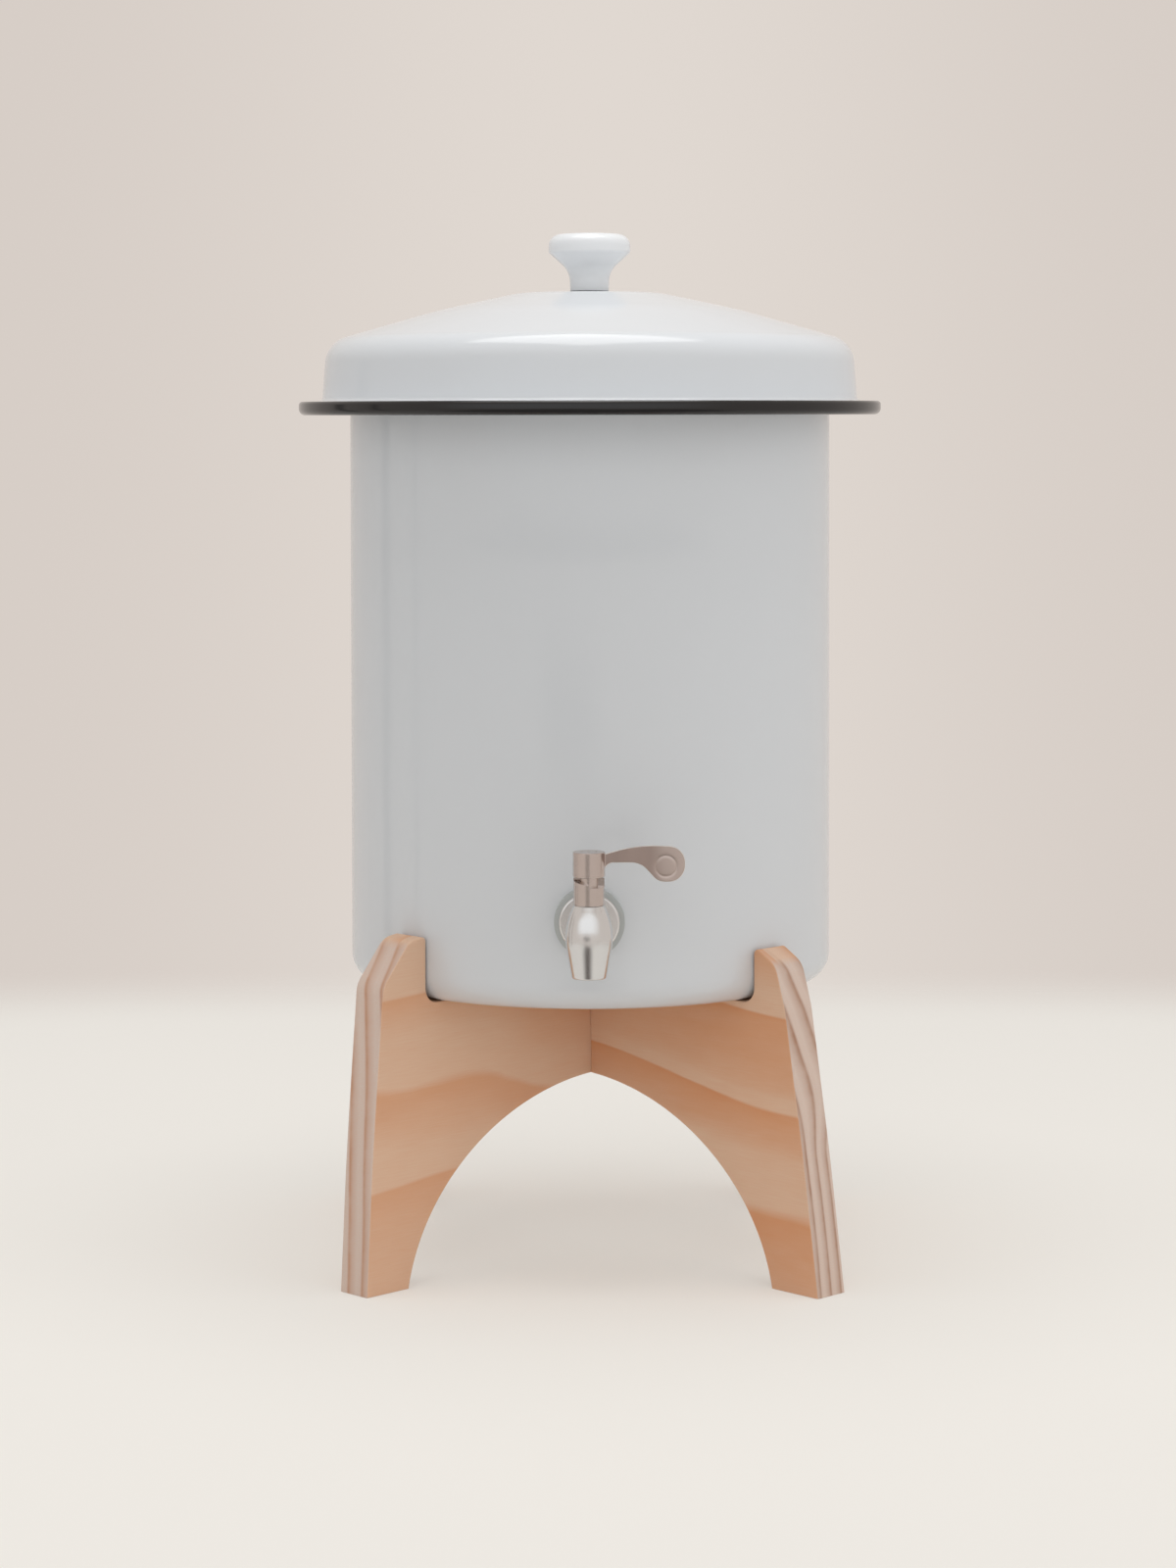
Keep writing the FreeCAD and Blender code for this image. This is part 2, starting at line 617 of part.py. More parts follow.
shoulder_radius = sizes.VesselRadius + sizes.ShoulderReach
skirt_radius = shoulder_radius + sizes.SkirtFlare
rim_radius = skirt_radius + sizes.FlangeReach
shoulder_height = rim_top + sizes.ShoulderRise
break_height = rim_top + sizes.BreakRise
crown_height = rim_top + sizes.CrownRise
flange_height = rim_top - sizes.FlangeDrop
knob_hole = sizes.KnobScrewRadius + sizes.ScrewPlay

inlet_height = sizes.SeatHeight + sizes.InletRise
valve_distance = sizes.VesselRadius + sizes.ValveReach
flange_back = sizes.ValveReach - sizes.OuterGasketThickness
cap_floor = sizes.NeckRise + sizes.CapRise
cap_top = cap_floor + sizes.CapHeight
nut_floor = cap_top - sizes.CapNutThickness
ramp_foot = sizes.NeckRise + sizes.RampFoot
hub_top = sizes.NeckRise + sizes.BonnetRise
bonnet_bottom = sizes.NeckRise - sizes.BonnetStub
stub_radius = sizes.ChamberRadius - sizes.ThreadPlay
seal_pocket = sizes.StemRadius + sizes.StemPlay + 2 * sizes.SealWire + sizes.SealPlay
seal_height = bonnet_bottom + sizes.SealWire + sizes.SealPlay
overshoot = sizes.CutOvershoot
stopper_floor = sizes.StopperGap - sizes.ChamberDepth
stopper_top = stopper_floor + sizes.StopperThickness
collar_top = stopper_top + sizes.StemCollarThickness


def lid_inside(radius):
    """Height of the lid's inner face over the outer cone at a radius."""
    slope = (break_height - shoulder_height) / (shoulder_radius - sizes.BreakRadius)
    outside = shoulder_height + slope * (shoulder_radius - radius)
    return outside - sizes.LidWall * root(1 + slope * slope)


def place_at_valve(body):
    """Puts a tap piece's own origin on the valve's axis at the inlet's height."""
    bind(body, "Placement.Base.y", -valve_distance)
    bind(body, "Placement.Base.z", inlet_height)


# ---------------------------------------------------------------- stand

def board_half_outline(board):
    """Right half of a board from its outer foot corner up to the seat's inner fillet."""
    def size(name):
        return getattr(sizes, board + name)
    horn_top = sizes.SeatHeight + size("HornHeight")
    return [
        (horn_face + size("FootWidth"), 0),
        (horn_face + size("FlankWidth"), sizes.SeatHeight * sizes.FlankShare,
         sizes.SeatHeight * sizes.FlankBow),
        (horn_face + size("ShoulderWidth"), horn_top - size("ShoulderDrop"),
         size("ShoulderRound")),
        (horn_face + size("CrestWidth"), horn_top - size("CrestDrop"), size("CrestRound")),
        (horn_face, horn_top, sizes.HornTip),
        (horn_face, sizes.SeatHeight, sizes.SeatFillet),
    ]


def cross_board(board, turn, slot_bottom, slot_height):
    """One board of the stand: outline, arch, eased edges and its half of the lap joint."""
    body = new_body(f"{board.lower()}_cross_board")
    outline = new_sketch(body, "outline", "XZ_Plane")
    right = board_half_outline(board)
    left = [(-corner[0],) + corner[1:] for corner in reversed(right)]
    draw_outline(outline, right + left)
    padded(body, "blank", outline, sizes.BoardThickness, symmetric=True)
    arch = new_sketch(body, "arch", "XZ_Plane")
    draw_ellipse(arch, -sizes.ArchSink, sizes.ArchHalfSpan, sizes.ArchRise)
    arched = pocketed(body, "arched", arch, cut_through, symmetric=True)

    def on_face(edge):
        """Edges round the two faces, apart from those of the floor side."""
        box = edge.BoundBox
        flat = box.YLength < 1e-6 and abs(abs(box.YMin) - half_board.value) < 1e-6
        return flat and box.ZMax > sizes.FloorMargin.value
    eased(body, "eased", arched, sizes.BoardEase, on_face)
    slot = new_sketch(body, "slot", "XZ_Plane")
    side = half_board + sizes.LapPlay
    draw_outline(slot, [(-side, slot_bottom), (side, slot_bottom),
                        (side, slot_height), (-side, slot_height)])
    pocketed(body, "slotted", slot, cut_through, symmetric=True)
    body.Placement.Rotation = FreeCAD.Rotation(FreeCAD.Vector(0, 0, 1), turn.value)
    bind(body, "Placement.Rotation.Angle", turn)
    return body


cross_board("Lower", sizes.BoardAngle, lap_height, slot_end)
cross_board("Upper", half_turn - sizes.BoardAngle, -slot_end, lap_height)


# ---------------------------------------------------------------- bucket

def bucket():
    """Deep drawn bucket: flat base, round corner, upright wall and a rim rolled outwards."""
    body = new_body("bucket")
    wall = new_sketch(body, "wall", "XZ_Plane")
    lip = rim_top - sizes.VesselWall
    bend = 2 * sizes.BeadBend + sizes.BeadFlat
    draw_sheet(wall, [
        (0, sizes.SeatHeight),
        (sizes.VesselRadius, sizes.SeatHeight, sizes.BaseCorner),
        (sizes.VesselRadius, lip, sizes.BeadBend),
        (sizes.VesselRadius + bend, lip, sizes.BeadBend),
        (sizes.VesselRadius + bend, lip - bend, sizes.BeadBend),
        (sizes.VesselRadius + sizes.BeadBend, lip - bend),
    ], sizes.VesselWall, side=1)
    turned(body, "drawn", wall)
    hole = new_sketch(body, "tap_hole", "XZ_Plane")
    draw_circle(hole, 0, inlet_height, sizes.ShankRadius + sizes.ShankPlay)
    pocketed(body, "drilled", hole, reverse=True)
    return body


bucket()


# ---------------------------------------------------------------- filter pot and its ring

skirt_inside = bead_outside + sizes.RingPlay
skirt_outside = skirt_inside + sizes.RingWall
web_bottom = rim_top + sizes.SeatGap
web_top = web_bottom + sizes.RingWeb
pot_outside = vessel_inside - sizes.PotPlay


def pot_ring():
    """Plastic ring: skirt over the bead, web under the pot's lip, collar under the lid."""
    web_inside = pot_outside + sizes.PotRingPlay
    collar_top_height = lid_inside(skirt_outside) - sizes.SeatGap - sizes.CollarDrop
    return turned_piece("pot_ring", [
        (web_inside, web_bottom, sizes.RingRound),
        (skirt_inside, web_bottom, sizes.RingRound),
        (skirt_inside, rim_top - sizes.RingSkirt, sizes.RingRound),
        (skirt_outside, rim_top - sizes.RingSkirt, sizes.RingRound),
        (skirt_outside, collar_top_height, sizes.RingRound),
        (skirt_inside, collar_top_height, sizes.RingRound),
        (skirt_inside, web_top, sizes.RingRound),
        (web_inside, web_top, sizes.RingRound),
    ])


def filter_pot():
    """Clay pot with a thick lip, tapering to a rounded base."""
    bottom = web_top - sizes.PotDepth
    lip_top = web_top + sizes.PotLip
    lip_radius = skirt_inside - sizes.PotLipPlay
    foot_radius = pot_outside - sizes.PotTaper
    floor = bottom + sizes.PotBase
    return turned_piece("filter_pot", [
        (0, bottom),
        (foot_radius, bottom, sizes.PotCorner),
        (pot_outside, web_top),
        (lip_radius, web_top, sizes.PotLipEdge),
        (lip_radius, lip_top, sizes.PotLipRound),
        (pot_outside - sizes.PotWall, lip_top, sizes.PotLipRound),
        (foot_radius - sizes.PotWall, floor, sizes.PotInnerCorner),
        (0, floor),
    ])


pot_ring()
filter_pot()


# ---------------------------------------------------------------- lid

def lid():
    """Pressed lid: flat crown, cone in two slopes, shoulder, skirt, flange and rolled edge."""
    body = new_body("lid")
    section = new_sketch(body, "section", "XZ_Plane")
    roll_bottom = flange_height - sizes.RollDepth
    roll_inside = rim_radius - sizes.RollWidth
    draw_sheet(section, [
        (knob_hole, crown_height),
        (sizes.CrownRadius, crown_height, sizes.CrownRound),
        (sizes.BreakRadius, break_height, sizes.BreakRound),
        (shoulder_radius, shoulder_height, sizes.LidShoulderRound),
        (skirt_radius, flange_height, sizes.FlangeBend),
        (rim_radius, flange_height, sizes.RollTopRound),
        (rim_radius, roll_bottom, sizes.RollSideRound),
        (roll_inside, roll_bottom, sizes.RollInnerRound),
        (roll_inside, roll_bottom + sizes.RollReturn),
    ], sizes.LidWall, side=-1)
    turned(body, "pressed", section)
    return body


knob_base = crown_height + sizes.KnobGasketThickness


def ring_piece(label, hole_radius, radius, bottom, thickness):
    """A flat ring: a cylinder with a hole, both Part primitives."""
    outer = doc.addObject("Part::Cylinder", f"{label}_disc")
    bind(outer, "Radius", radius)
    bind(outer, "Height", thickness)
    bind(outer, "Placement.Base.z", bottom)
    hole = doc.addObject("Part::Cylinder", f"{label}_hole")
    bind(hole, "Radius", hole_radius)
    bind(hole, "Height", 3 * thickness)
    bind(hole, "Placement.Base.z", bottom - thickness)
    ring = doc.addObject("Part::Cut", label)
    ring.Label = label
    ring.Base = outer
    ring.Tool = hole
    return ring


def lid_knob():
    """Turned knob: foot, neck, hollow flare, thin edge and a low dome, with a blind hole."""
    hole_top = knob_base + sizes.KnobScrewGrip
    return turned_piece("lid_knob", [
        (knob_hole, knob_base),
        (sizes.KnobFootRadius, knob_base, sizes.KnobFootRound),
        (sizes.KnobNeckRadius, knob_base + sizes.KnobNeckHeight, sizes.KnobNeckRound),
        (sizes.KnobHeadRadius, knob_base + sizes.KnobHeadHeight, sizes.KnobEdgeRound),
        (sizes.KnobHeadRadius, knob_base + sizes.KnobRimHeight, sizes.KnobRimRound),
        (sizes.KnobCrownRadius, knob_base + sizes.KnobHeight, sizes.KnobCrownRound),
        (0, knob_base + sizes.KnobHeight),
        (0, hole_top),
        (knob_hole, hole_top),
    ])


def knob_screw():
    """Pan head screw, from under the lid into the knob."""
    head_top = crown_height - sizes.LidWall - sizes.KnobWasherThickness
    head_bottom = head_top - sizes.ScrewHeadHeight
    shank_top = knob_base + sizes.KnobScrewGrip - sizes.KnobScrewRadius
    body = turned_piece("knob_screw", [
        (0, head_bottom),
        (sizes.ScrewHeadRadius, head_bottom, sizes.ScrewHeadRound),
        (sizes.ScrewHeadRadius, head_top),
        (sizes.KnobScrewRadius, head_top),
        (sizes.KnobScrewRadius, shank_top, sizes.KnobScrewTip),
        (0, shank_top),
    ])
    socket = new_sketch(body, "socket", "XY_Plane", head_bottom)
    draw_hexagon(socket, sizes.ScrewSocketRadius)
    pocketed(body, "socketed", socket, sizes.ScrewSocketDepth, reverse=True)
    return body


lid()
ring_piece("knob_gasket", knob_hole, sizes.KnobGasketRadius, crown_height,
           sizes.KnobGasketThickness)
lid_knob()
ring_piece("knob_washer", knob_hole, sizes.KnobWasherRadius,
           crown_height - sizes.LidWall - sizes.KnobWasherThickness, sizes.KnobWasherThickness)
knob_screw()


# ---------------------------------------------------------------- tap body

def tap_body():
    """Cast body: egg-shaped bulb and spout, arm, flange and threaded shank, bored through."""
    body = new_body("tap_body")
    bulb = new_sketch(body, "bulb", "XZ_Plane")
    draw_outline(bulb, [
        (0, -sizes.SpoutDrop),
        (sizes.SpoutRadius, -sizes.SpoutDrop, sizes.SpoutEdge),
        (sizes.BulbRadius, sizes.BulbRise, sizes.BulbRound),
        (sizes.NeckRadius, sizes.NeckRise, sizes.NeckEdge),
        (0, sizes.NeckRise),
    ])
    turned(body, "bulb_turned", bulb)
    arm = new_sketch(body, "arm", "YZ_Plane")
    flange_front = flange_back - sizes.TapFlangeThickness
    draw_outline(arm, [
        (0, 0),
        (0, sizes.BossRadius),
        (flange_front, sizes.BossRadius, sizes.TapFlangeRound),
        (flange_front, sizes.TapFlangeRadius, sizes.TapFlangeRound),
        (flange_back, sizes.TapFlangeRadius),
        (flange_back, sizes.ShankRadius),
        (flange_back + sizes.ShankLength, sizes.ShankRadius, sizes.ShankEdge),
        (flange_back + sizes.ShankLength, 0),
    ])
    turned(body, "arm_turned", arm, axis="H_Axis")
    chamber = new_sketch(body, "chamber", "XZ_Plane")
    seat_under = -sizes.ChamberDepth - sizes.SeatThickness
    draw_outline(chamber, [
        (0, sizes.NeckRise + overshoot),
        (sizes.ChamberRadius, sizes.NeckRise + overshoot),
        (sizes.ChamberRadius, -sizes.ChamberDepth),
        (sizes.SeatRadius, -sizes.ChamberDepth),
        (sizes.SeatRadius, seat_under),
        (sizes.OutletWaist, seat_under - sizes.SeatThickness),
        (sizes.OutletRadius, -sizes.SpoutDrop),
        (sizes.OutletRadius, -sizes.SpoutDrop - overshoot),
        (0, -sizes.SpoutDrop - overshoot),
    ])
    turned(body, "bored", chamber, cut=True)
    inlet = new_sketch(body, "inlet", "XZ_Plane")
    draw_circle(inlet, 0, 0, sizes.InletRadius)
    pocketed(body, "inlet_bored", inlet)
    place_at_valve(body)
    return body


# ---------------------------------------------------------------- bonnet, lever and cap nut

def tap_bonnet():
    """Bonnet with a hub and, round it, two helical ramps, two notches and two stops."""
    body = new_body("tap_bonnet")
    section = new_sketch(body, "section", "XZ_Plane")
    bore = sizes.StemRadius + sizes.StemPlay
    pocket_top = bonnet_bottom + 2 * sizes.SealWire + 2 * sizes.SealPlay
    draw_outline(section, [
        (bore, pocket_top),
        (seal_pocket, pocket_top),
        (seal_pocket, bonnet_bottom),
        (stub_radius, bonnet_bottom),
        (stub_radius, sizes.NeckRise),
        (sizes.NeckRadius, sizes.NeckRise, sizes.BonnetEdge),
        (sizes.NeckRadius, hub_top),
        (bore, hub_top),
    ])
    turned(body, "turned", section)
    outside = sizes.NeckRadius + overshoot

    def cutter(name, bottom):
        """Upright rectangle over the ramps' ring, on the front half-plane."""
        sketch = new_sketch(body, name, "YZ_Plane")
        draw_outline(sketch, [
            (-outside, bottom),
            (-sizes.HubRadius, bottom),
            (-sizes.HubRadius, hub_top + sizes.NotchDrop),
            (-outside, hub_top + sizes.NotchDrop),
        ])
        return sketch

    notch = turned(body, "notch", cutter("notch_section", ramp_foot - sizes.NotchDrop),
                   angle=sizes.NotchAngle, cut=True)
    ramp = body.newObject("PartDesign::SubtractiveHelix", "tap_bonnet_ramp")
    ramp_section = cutter("ramp_section", ramp_foot)
    ramp.Profile = ramp_section
    ramp.ReferenceAxis = (ramp_section, ["V_Axis"])
    ramp.Mode = "pitch-turns-angle"
    bind(ramp, "Pitch", 360 * sizes.RampLift / sizes.LeverTravel)
    bind(ramp, "Turns", (sizes.LeverTravel + sizes.RampOverrun) / 360)
    ramp.LeftHanded = True
    twice(body, "ramps", [notch, ramp], section)
    place_at_valve(body)
    return body


def tap_lever():
    """Round cap with two tabs, and a flat paddle ending in a thumb disc."""
    body = new_body("tap_lever")
    cap = new_sketch(body, "cap", "XZ_Plane")
    bore = sizes.StemRadius + sizes.StemPlay
    pocket = sizes.CapNutRadius + sizes.CapNutPlay
    draw_outline(cap, [
        (bore, cap_floor),
        (sizes.CapRadius, cap_floor, sizes.CapEdge),
        (sizes.CapRadius, cap_top, sizes.CapEdge),
        (pocket, cap_top),
        (pocket, nut_floor),
        (bore, nut_floor),
    ])
    turned(body, "cap_turned", cap)
    tab = new_sketch(body, "tab", "YZ_Plane")
    tab_bottom = ramp_foot + sizes.TabGap
    tab_top = cap_floor + sizes.TabRoot
    draw_outline(tab, [
        (-sizes.CapRadius + sizes.CapEdge, tab_bottom),
        (-sizes.TabInnerRadius, tab_bottom),
        (-sizes.TabInnerRadius, tab_top),
        (-sizes.CapRadius + sizes.CapEdge, tab_top),
    ])
    tab_turned = turned(body, "tab_turned", tab, angle=sizes.TabAngle)
    twice(body, "tabs", [tab_turned], tab)
    paddle = new_sketch(body, "paddle", "XZ_Plane")
    arm_top = cap_floor + sizes.ArmTop
    arm_bottom = cap_floor + sizes.ArmBottom
    arm_foot = cap_floor + sizes.ArmFoot
    disc_height = arm_bottom - sizes.DiscDrop
    disc_top = disc_height + sizes.DiscRadius
    disc_bottom = disc_height - sizes.DiscRadius
    disc_end = sizes.DiscCentre + sizes.DiscRadius
    disc_corner = sizes.DiscRadius - sizes.DiscFlat
    draw_outline(paddle, [
        (sizes.ArmInside, arm_top),
        (sizes.ArmRoot, arm_top),
        (sizes.DiscCentre - sizes.ArmCrest, disc_top + sizes.ArmCrestRise, sizes.ArmCrestRound),
        (disc_end, disc_top, disc_corner),
        (disc_end, disc_bottom, disc_corner),
        (sizes.DiscCentre - sizes.DiscHeel, disc_bottom, sizes.DiscHeelRound),
        (sizes.DiscCentre - sizes.ArmTurn, arm_bottom, sizes.ArmBend),
        (sizes.ArmRoot, arm_bottom, sizes.ArmFillet),
        (sizes.ArmRoot, arm_foot),
        (sizes.ArmInside, arm_foot),
    ])
    paddle_pad = padded(body, "paddle_pad", paddle, sizes.PaddleThickness, symmetric=True)

    def paddle_rim(edge):
        """Edges round the paddle's faces, clear of the cap."""
        box = edge.BoundBox
        face = sizes.PaddleThickness.value / 2
        flat = box.YLength < 1e-6 and abs(abs(box.YMin) - face) < 1e-6
        return flat and box.XMax > sizes.CapRadius.value + sizes.PaddleEase.value
    eased(body, "paddle_eased", paddle_pad, sizes.PaddleEase, paddle_rim)
    medallion = new_sketch(body, "medallion", "XZ_Plane",
                           sizes.PaddleThickness / 2 - sizes.MedallionDepth)
    draw_circle(medallion, sizes.DiscCentre - sizes.MedallionInset,
                disc_height - sizes.MedallionDrop, sizes.MedallionRadius)
    pocketed(body, "recessed", medallion, sizes.PaddleThickness, reverse=True)
    place_at_valve(body)
    return body


def tap_cap_nut():
    """Round nut in the cap's pocket, with a blind threaded hole and a dimple on top."""
    hole = sizes.StemHeadRadius + sizes.ThreadPlay
    hole_top = cap_top - sizes.DimpleDepth - sizes.CapNutEdge
    body = turned_piece("tap_cap_nut", [
        (hole, nut_floor),
        (sizes.CapNutRadius, nut_floor),
        (sizes.CapNutRadius, cap_top, sizes.CapNutEdge),
        (sizes.DimpleRadius, cap_top),
        (0, cap_top - sizes.DimpleDepth),
        (0, hole_top),
        (hole, hole_top),
    ])
    place_at_valve(body)
    return body


# ---------------------------------------------------------------- stem, stopper, seal, spring

def tap_stem():
    """Stem: tail in the stopper, collar under the spring, rod and threaded top."""
    rod_top = nut_floor - sizes.StemPlay
    body = turned_piece("tap_stem", [
        (0, stopper_top - sizes.StemTailLength),
        (sizes.StemTailRadius, stopper_top - sizes.StemTailLength),
        (sizes.StemTailRadius, stopper_top),
        (sizes.StemCollarRadius, stopper_top),
        (sizes.StemCollarRadius, collar_top),
        (sizes.StemRadius, collar_top),
        (sizes.StemRadius, rod_top),
        (sizes.StemHeadRadius, rod_top),
        (sizes.StemHeadRadius, cap_top - sizes.DimpleDepth - 2 * sizes.CapNutEdge),
        (0, cap_top - sizes.DimpleDepth - 2 * sizes.CapNutEdge),
    ])
    place_at_valve(body)
    return body


def tap_stopper():
    """Silicone stopper: flat seat face and a tapered nose, with a blind hole for the tail."""
    hole = sizes.StemTailRadius + sizes.ThreadPlay
    hole_bottom = stopper_top - sizes.StemTailLength - sizes.ThreadPlay
    body = turned_piece("tap_stopper", [
        (0, stopper_floor - sizes.StopperNoseLength),
        (sizes.StopperNoseTip, stopper_floor - sizes.StopperNoseLength),
        (sizes.StopperNoseRadius, stopper_floor),
        (sizes.StopperRadius, stopper_floor),
        (sizes.StopperRadius, stopper_top, sizes.StopperRound),
        (hole, stopper_top),
        (hole, hole_bottom),
        (0, hole_bottom),
    ])
    place_at_valve(body)
    return body


def stem_seal():
    """O-ring in the pocket under the bonnet."""
    ring = doc.addObject("Part::Torus", "stem_seal")
    ring.Label = "stem_seal"
    bind(ring, "Radius1", sizes.StemRadius + sizes.StemPlay + sizes.SealWire)
    bind(ring, "Radius2", sizes.SealWire)
    bind(ring, "Placement.Base.y", -valve_distance)
    bind(ring, "Placement.Base.z", inlet_height + seal_height)
    return ring


def tap_spring():
    """Round wire spring between the stem's collar and the bonnet."""
    body = new_body("tap_spring")
    wire = new_sketch(body, "wire", "XZ_Plane")
    low = collar_top + sizes.SpringWire + sizes.SealPlay
    high = bonnet_bottom - sizes.SpringWire - sizes.SealPlay
    draw_circle(wire, sizes.SpringRadius, low, sizes.SpringWire)
    coil = body.newObject("PartDesign::AdditiveHelix", "tap_spring_coil")
    coil.Profile = wire
    coil.ReferenceAxis = (wire, ["V_Axis"])
    coil.Mode = "height-turns-angle"
    bind(coil, "Height", high - low)
    bind(coil, "Turns", sizes.SpringTurns)
    place_at_valve(body)
    return body


# ---------------------------------------------------------------- what clamps the tap

def disc_along_y(name, radius, start, thickness):
    """A cylinder along +Y from start, counted from the bucket's axis, at the inlet's height."""
    disc = doc.addObject("Part::Cylinder", name)
    disc.Placement.Rotation = FreeCAD.Rotation(FreeCAD.Vector(1, 0, 0), -90)
    bind(disc, "Radius", radius)
    bind(disc, "Height", thickness)
    bind(disc, "Placement.Base.y", start)
    bind(disc, "Placement.Base.z", inlet_height)
    return disc


def upright_cylinder(name, radius):
    """A cylinder about the bucket's axis, tall enough for the tap's gaskets."""
    cylinder = doc.addObject("Part::Cylinder", name)
    bind(cylinder, "Radius", radius)
    bind(cylinder, "Height", sizes.SeatHeight + sizes.VesselHeight)
    return cylinder


def combined(kind, name, base, tool):
    result = doc.addObject(f"Part::{kind}", name)
    result.Label = name
    result.Base = base
    result.Tool = tool
    return result


def tap_outer_gasket():
    """Silicone ring between flange and bucket, its back hollowed to the bucket's wall."""
    front = sizes.OuterGasketThickness + sizes.VesselRadius
    hole_radius = sizes.ShankRadius + sizes.ShankPlay
    disc = disc_along_y("outer_gasket_disc", sizes.OuterGasketRadius, -front,
                        2 * sizes.OuterGasketThickness)
    wall = upright_cylinder("outer_gasket_wall", sizes.VesselRadius + sizes.GasketGap)
    hole = disc_along_y("outer_gasket_hole", hole_radius, -front - overshoot,
                        3 * sizes.OuterGasketThickness)
    fitted = combined("Cut", "outer_gasket_fitted", disc, wall)
    return combined("Cut", "tap_outer_gasket", fitted, hole)


inner_gasket_back = vessel_inside - sizes.InnerGasketThickness


def tap_inner_gasket():
    """Gasket inside the bucket, its front crowned to the bucket's wall."""
    hole_radius = sizes.ShankRadius + sizes.ThreadPlay
    depth = 2 * sizes.InnerGasketThickness
    disc = disc_along_y("inner_gasket_disc", sizes.InnerGasketRadius,
                        -inner_gasket_back - depth, depth)
    wall = upright_cylinder("inner_gasket_wall", vessel_inside - sizes.GasketGap)
    hole = disc_along_y("inner_gasket_hole", hole_radius,
                        -inner_gasket_back - depth - overshoot, depth + 2 * overshoot)
    fitted = combined("Common", "inner_gasket_fitted", disc, wall)
    return combined("Cut", "tap_inner_gasket", fitted, hole)


def tap_washer():
    """Flat washer between inner gasket and nut."""
    disc = disc_along_y("tap_washer_disc", sizes.TapWasherRadius, -inner_gasket_back,
                        sizes.TapWasherThickness)
    hole = disc_along_y("tap_washer_hole", sizes.ShankRadius + sizes.ThreadPlay,
                        -inner_gasket_back - overshoot, sizes.TapWasherThickness + 2 * overshoot)
    return combined("Cut", "tap_washer", disc, hole)


def tap_nut():
    """Hexagon nut on the shank, with chamfered corners."""
    body = new_body("tap_nut")
    hexagon = new_sketch(body, "hexagon", "XZ_Plane")
    corner_radius = sizes.TapNutFlats / root(as_size(3))
    draw_hexagon(hexagon, corner_radius)
    padded(body, "blank", hexagon, sizes.TapNutThickness, reverse=True)
    bore = new_sketch(body, "bore", "XZ_Plane")
    draw_circle(bore, 0, 0, sizes.ShankRadius + sizes.ThreadPlay)
    pocketed(body, "bored", bore)
    corners = new_sketch(body, "corners", "YZ_Plane")
    slope = (corner_radius - sizes.TapNutFlats / 2) / 2
    draw_outline(corners, [
        (sizes.TapNutThickness - slope, corner_radius),
        (sizes.TapNutThickness + overshoot, sizes.TapNutFlats / 2 - overshoot),
        (sizes.TapNutThickness + overshoot, corner_radius + overshoot),
        (sizes.TapNutThickness - slope, corner_radius + overshoot),
    ])
    turned(body, "chamfered", corners, axis="H_Axis", cut=True)
    bind(body, "Placement.Base.y", sizes.TapWasherThickness - inner_gasket_back)
    bind(body, "Placement.Base.z", inlet_height)
    return body


tap_body()
tap_bonnet()
tap_lever()
tap_cap_nut()
tap_stem()
tap_stopper()
stem_seal()
tap_spring()
tap_outer_gasket()
tap_inner_gasket()
tap_washer()
tap_nut()

# ---------------------------------------------------------------- checks and files

nodes = [
    "lower_cross_board", "upper_cross_board", "bucket", "pot_ring", "filter_pot",
    "lid", "knob_gasket", "lid_knob", "knob_washer", "knob_screw",
    "tap_body", "tap_bonnet", "tap_lever", "tap_cap_nut", "tap_stem", "tap_stopper",
    "stem_seal", "tap_spring", "tap_outer_gasket", "tap_inner_gasket", "tap_washer", "tap_nut",
]


def check_document():
    """Stops at a failed object, an invalid shape or a cut that takes nothing away."""
    doc.recompute()
    for item in doc.Objects:
        if "Invalid" in item.State or "Error" in item.State:
            raise RuntimeError(f"{item.Label} failed: {item.State}")
        if item.TypeId in ("PartDesign::Pocket", "PartDesign::Groove",
                           "PartDesign::SubtractiveHelix"):
            before = item.BaseFeature.Shape.Volume
            if not item.Shape.Volume < before - 0.01:
                raise RuntimeError(f"{item.Label} cuts nothing")
    for label in nodes:
        shape = doc.getObjectsByLabel(label)[0].Shape
        if shape.isNull() or not shape.isValid() or not shape.Solids:
            raise RuntimeError(f"{label} has no valid solid")


def write_steps():
    os.makedirs("parts", exist_ok=True)
    for label in nodes:
        shape = doc.getObjectsByLabel(label)[0].Shape
        shape.exportStep(os.path.join("parts", f"{label}.step"))
        box = shape.BoundBox
        print(f"{label:20s} {len(shape.Solids)} solid  {shape.Volume:12.1f} mm3  "
              f"x {box.XMin:.1f}..{box.XMax:.1f}  y {box.YMin:.1f}..{box.YMax:.1f}  "
              f"z {box.ZMin:.1f}..{box.ZMax:.1f}")


check_document()
write_steps()
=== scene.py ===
import math

import bmesh
import bpy
import numpy as np
from mathutils import Euler, Matrix, Vector


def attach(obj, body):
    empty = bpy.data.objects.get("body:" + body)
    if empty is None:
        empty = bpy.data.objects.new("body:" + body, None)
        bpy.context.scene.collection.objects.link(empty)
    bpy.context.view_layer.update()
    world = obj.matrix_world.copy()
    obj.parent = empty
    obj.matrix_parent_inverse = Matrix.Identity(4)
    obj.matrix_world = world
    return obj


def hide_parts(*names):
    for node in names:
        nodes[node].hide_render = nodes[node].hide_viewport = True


# Gravity water filter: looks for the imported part. Metres, +Z up, tap towards -Y.

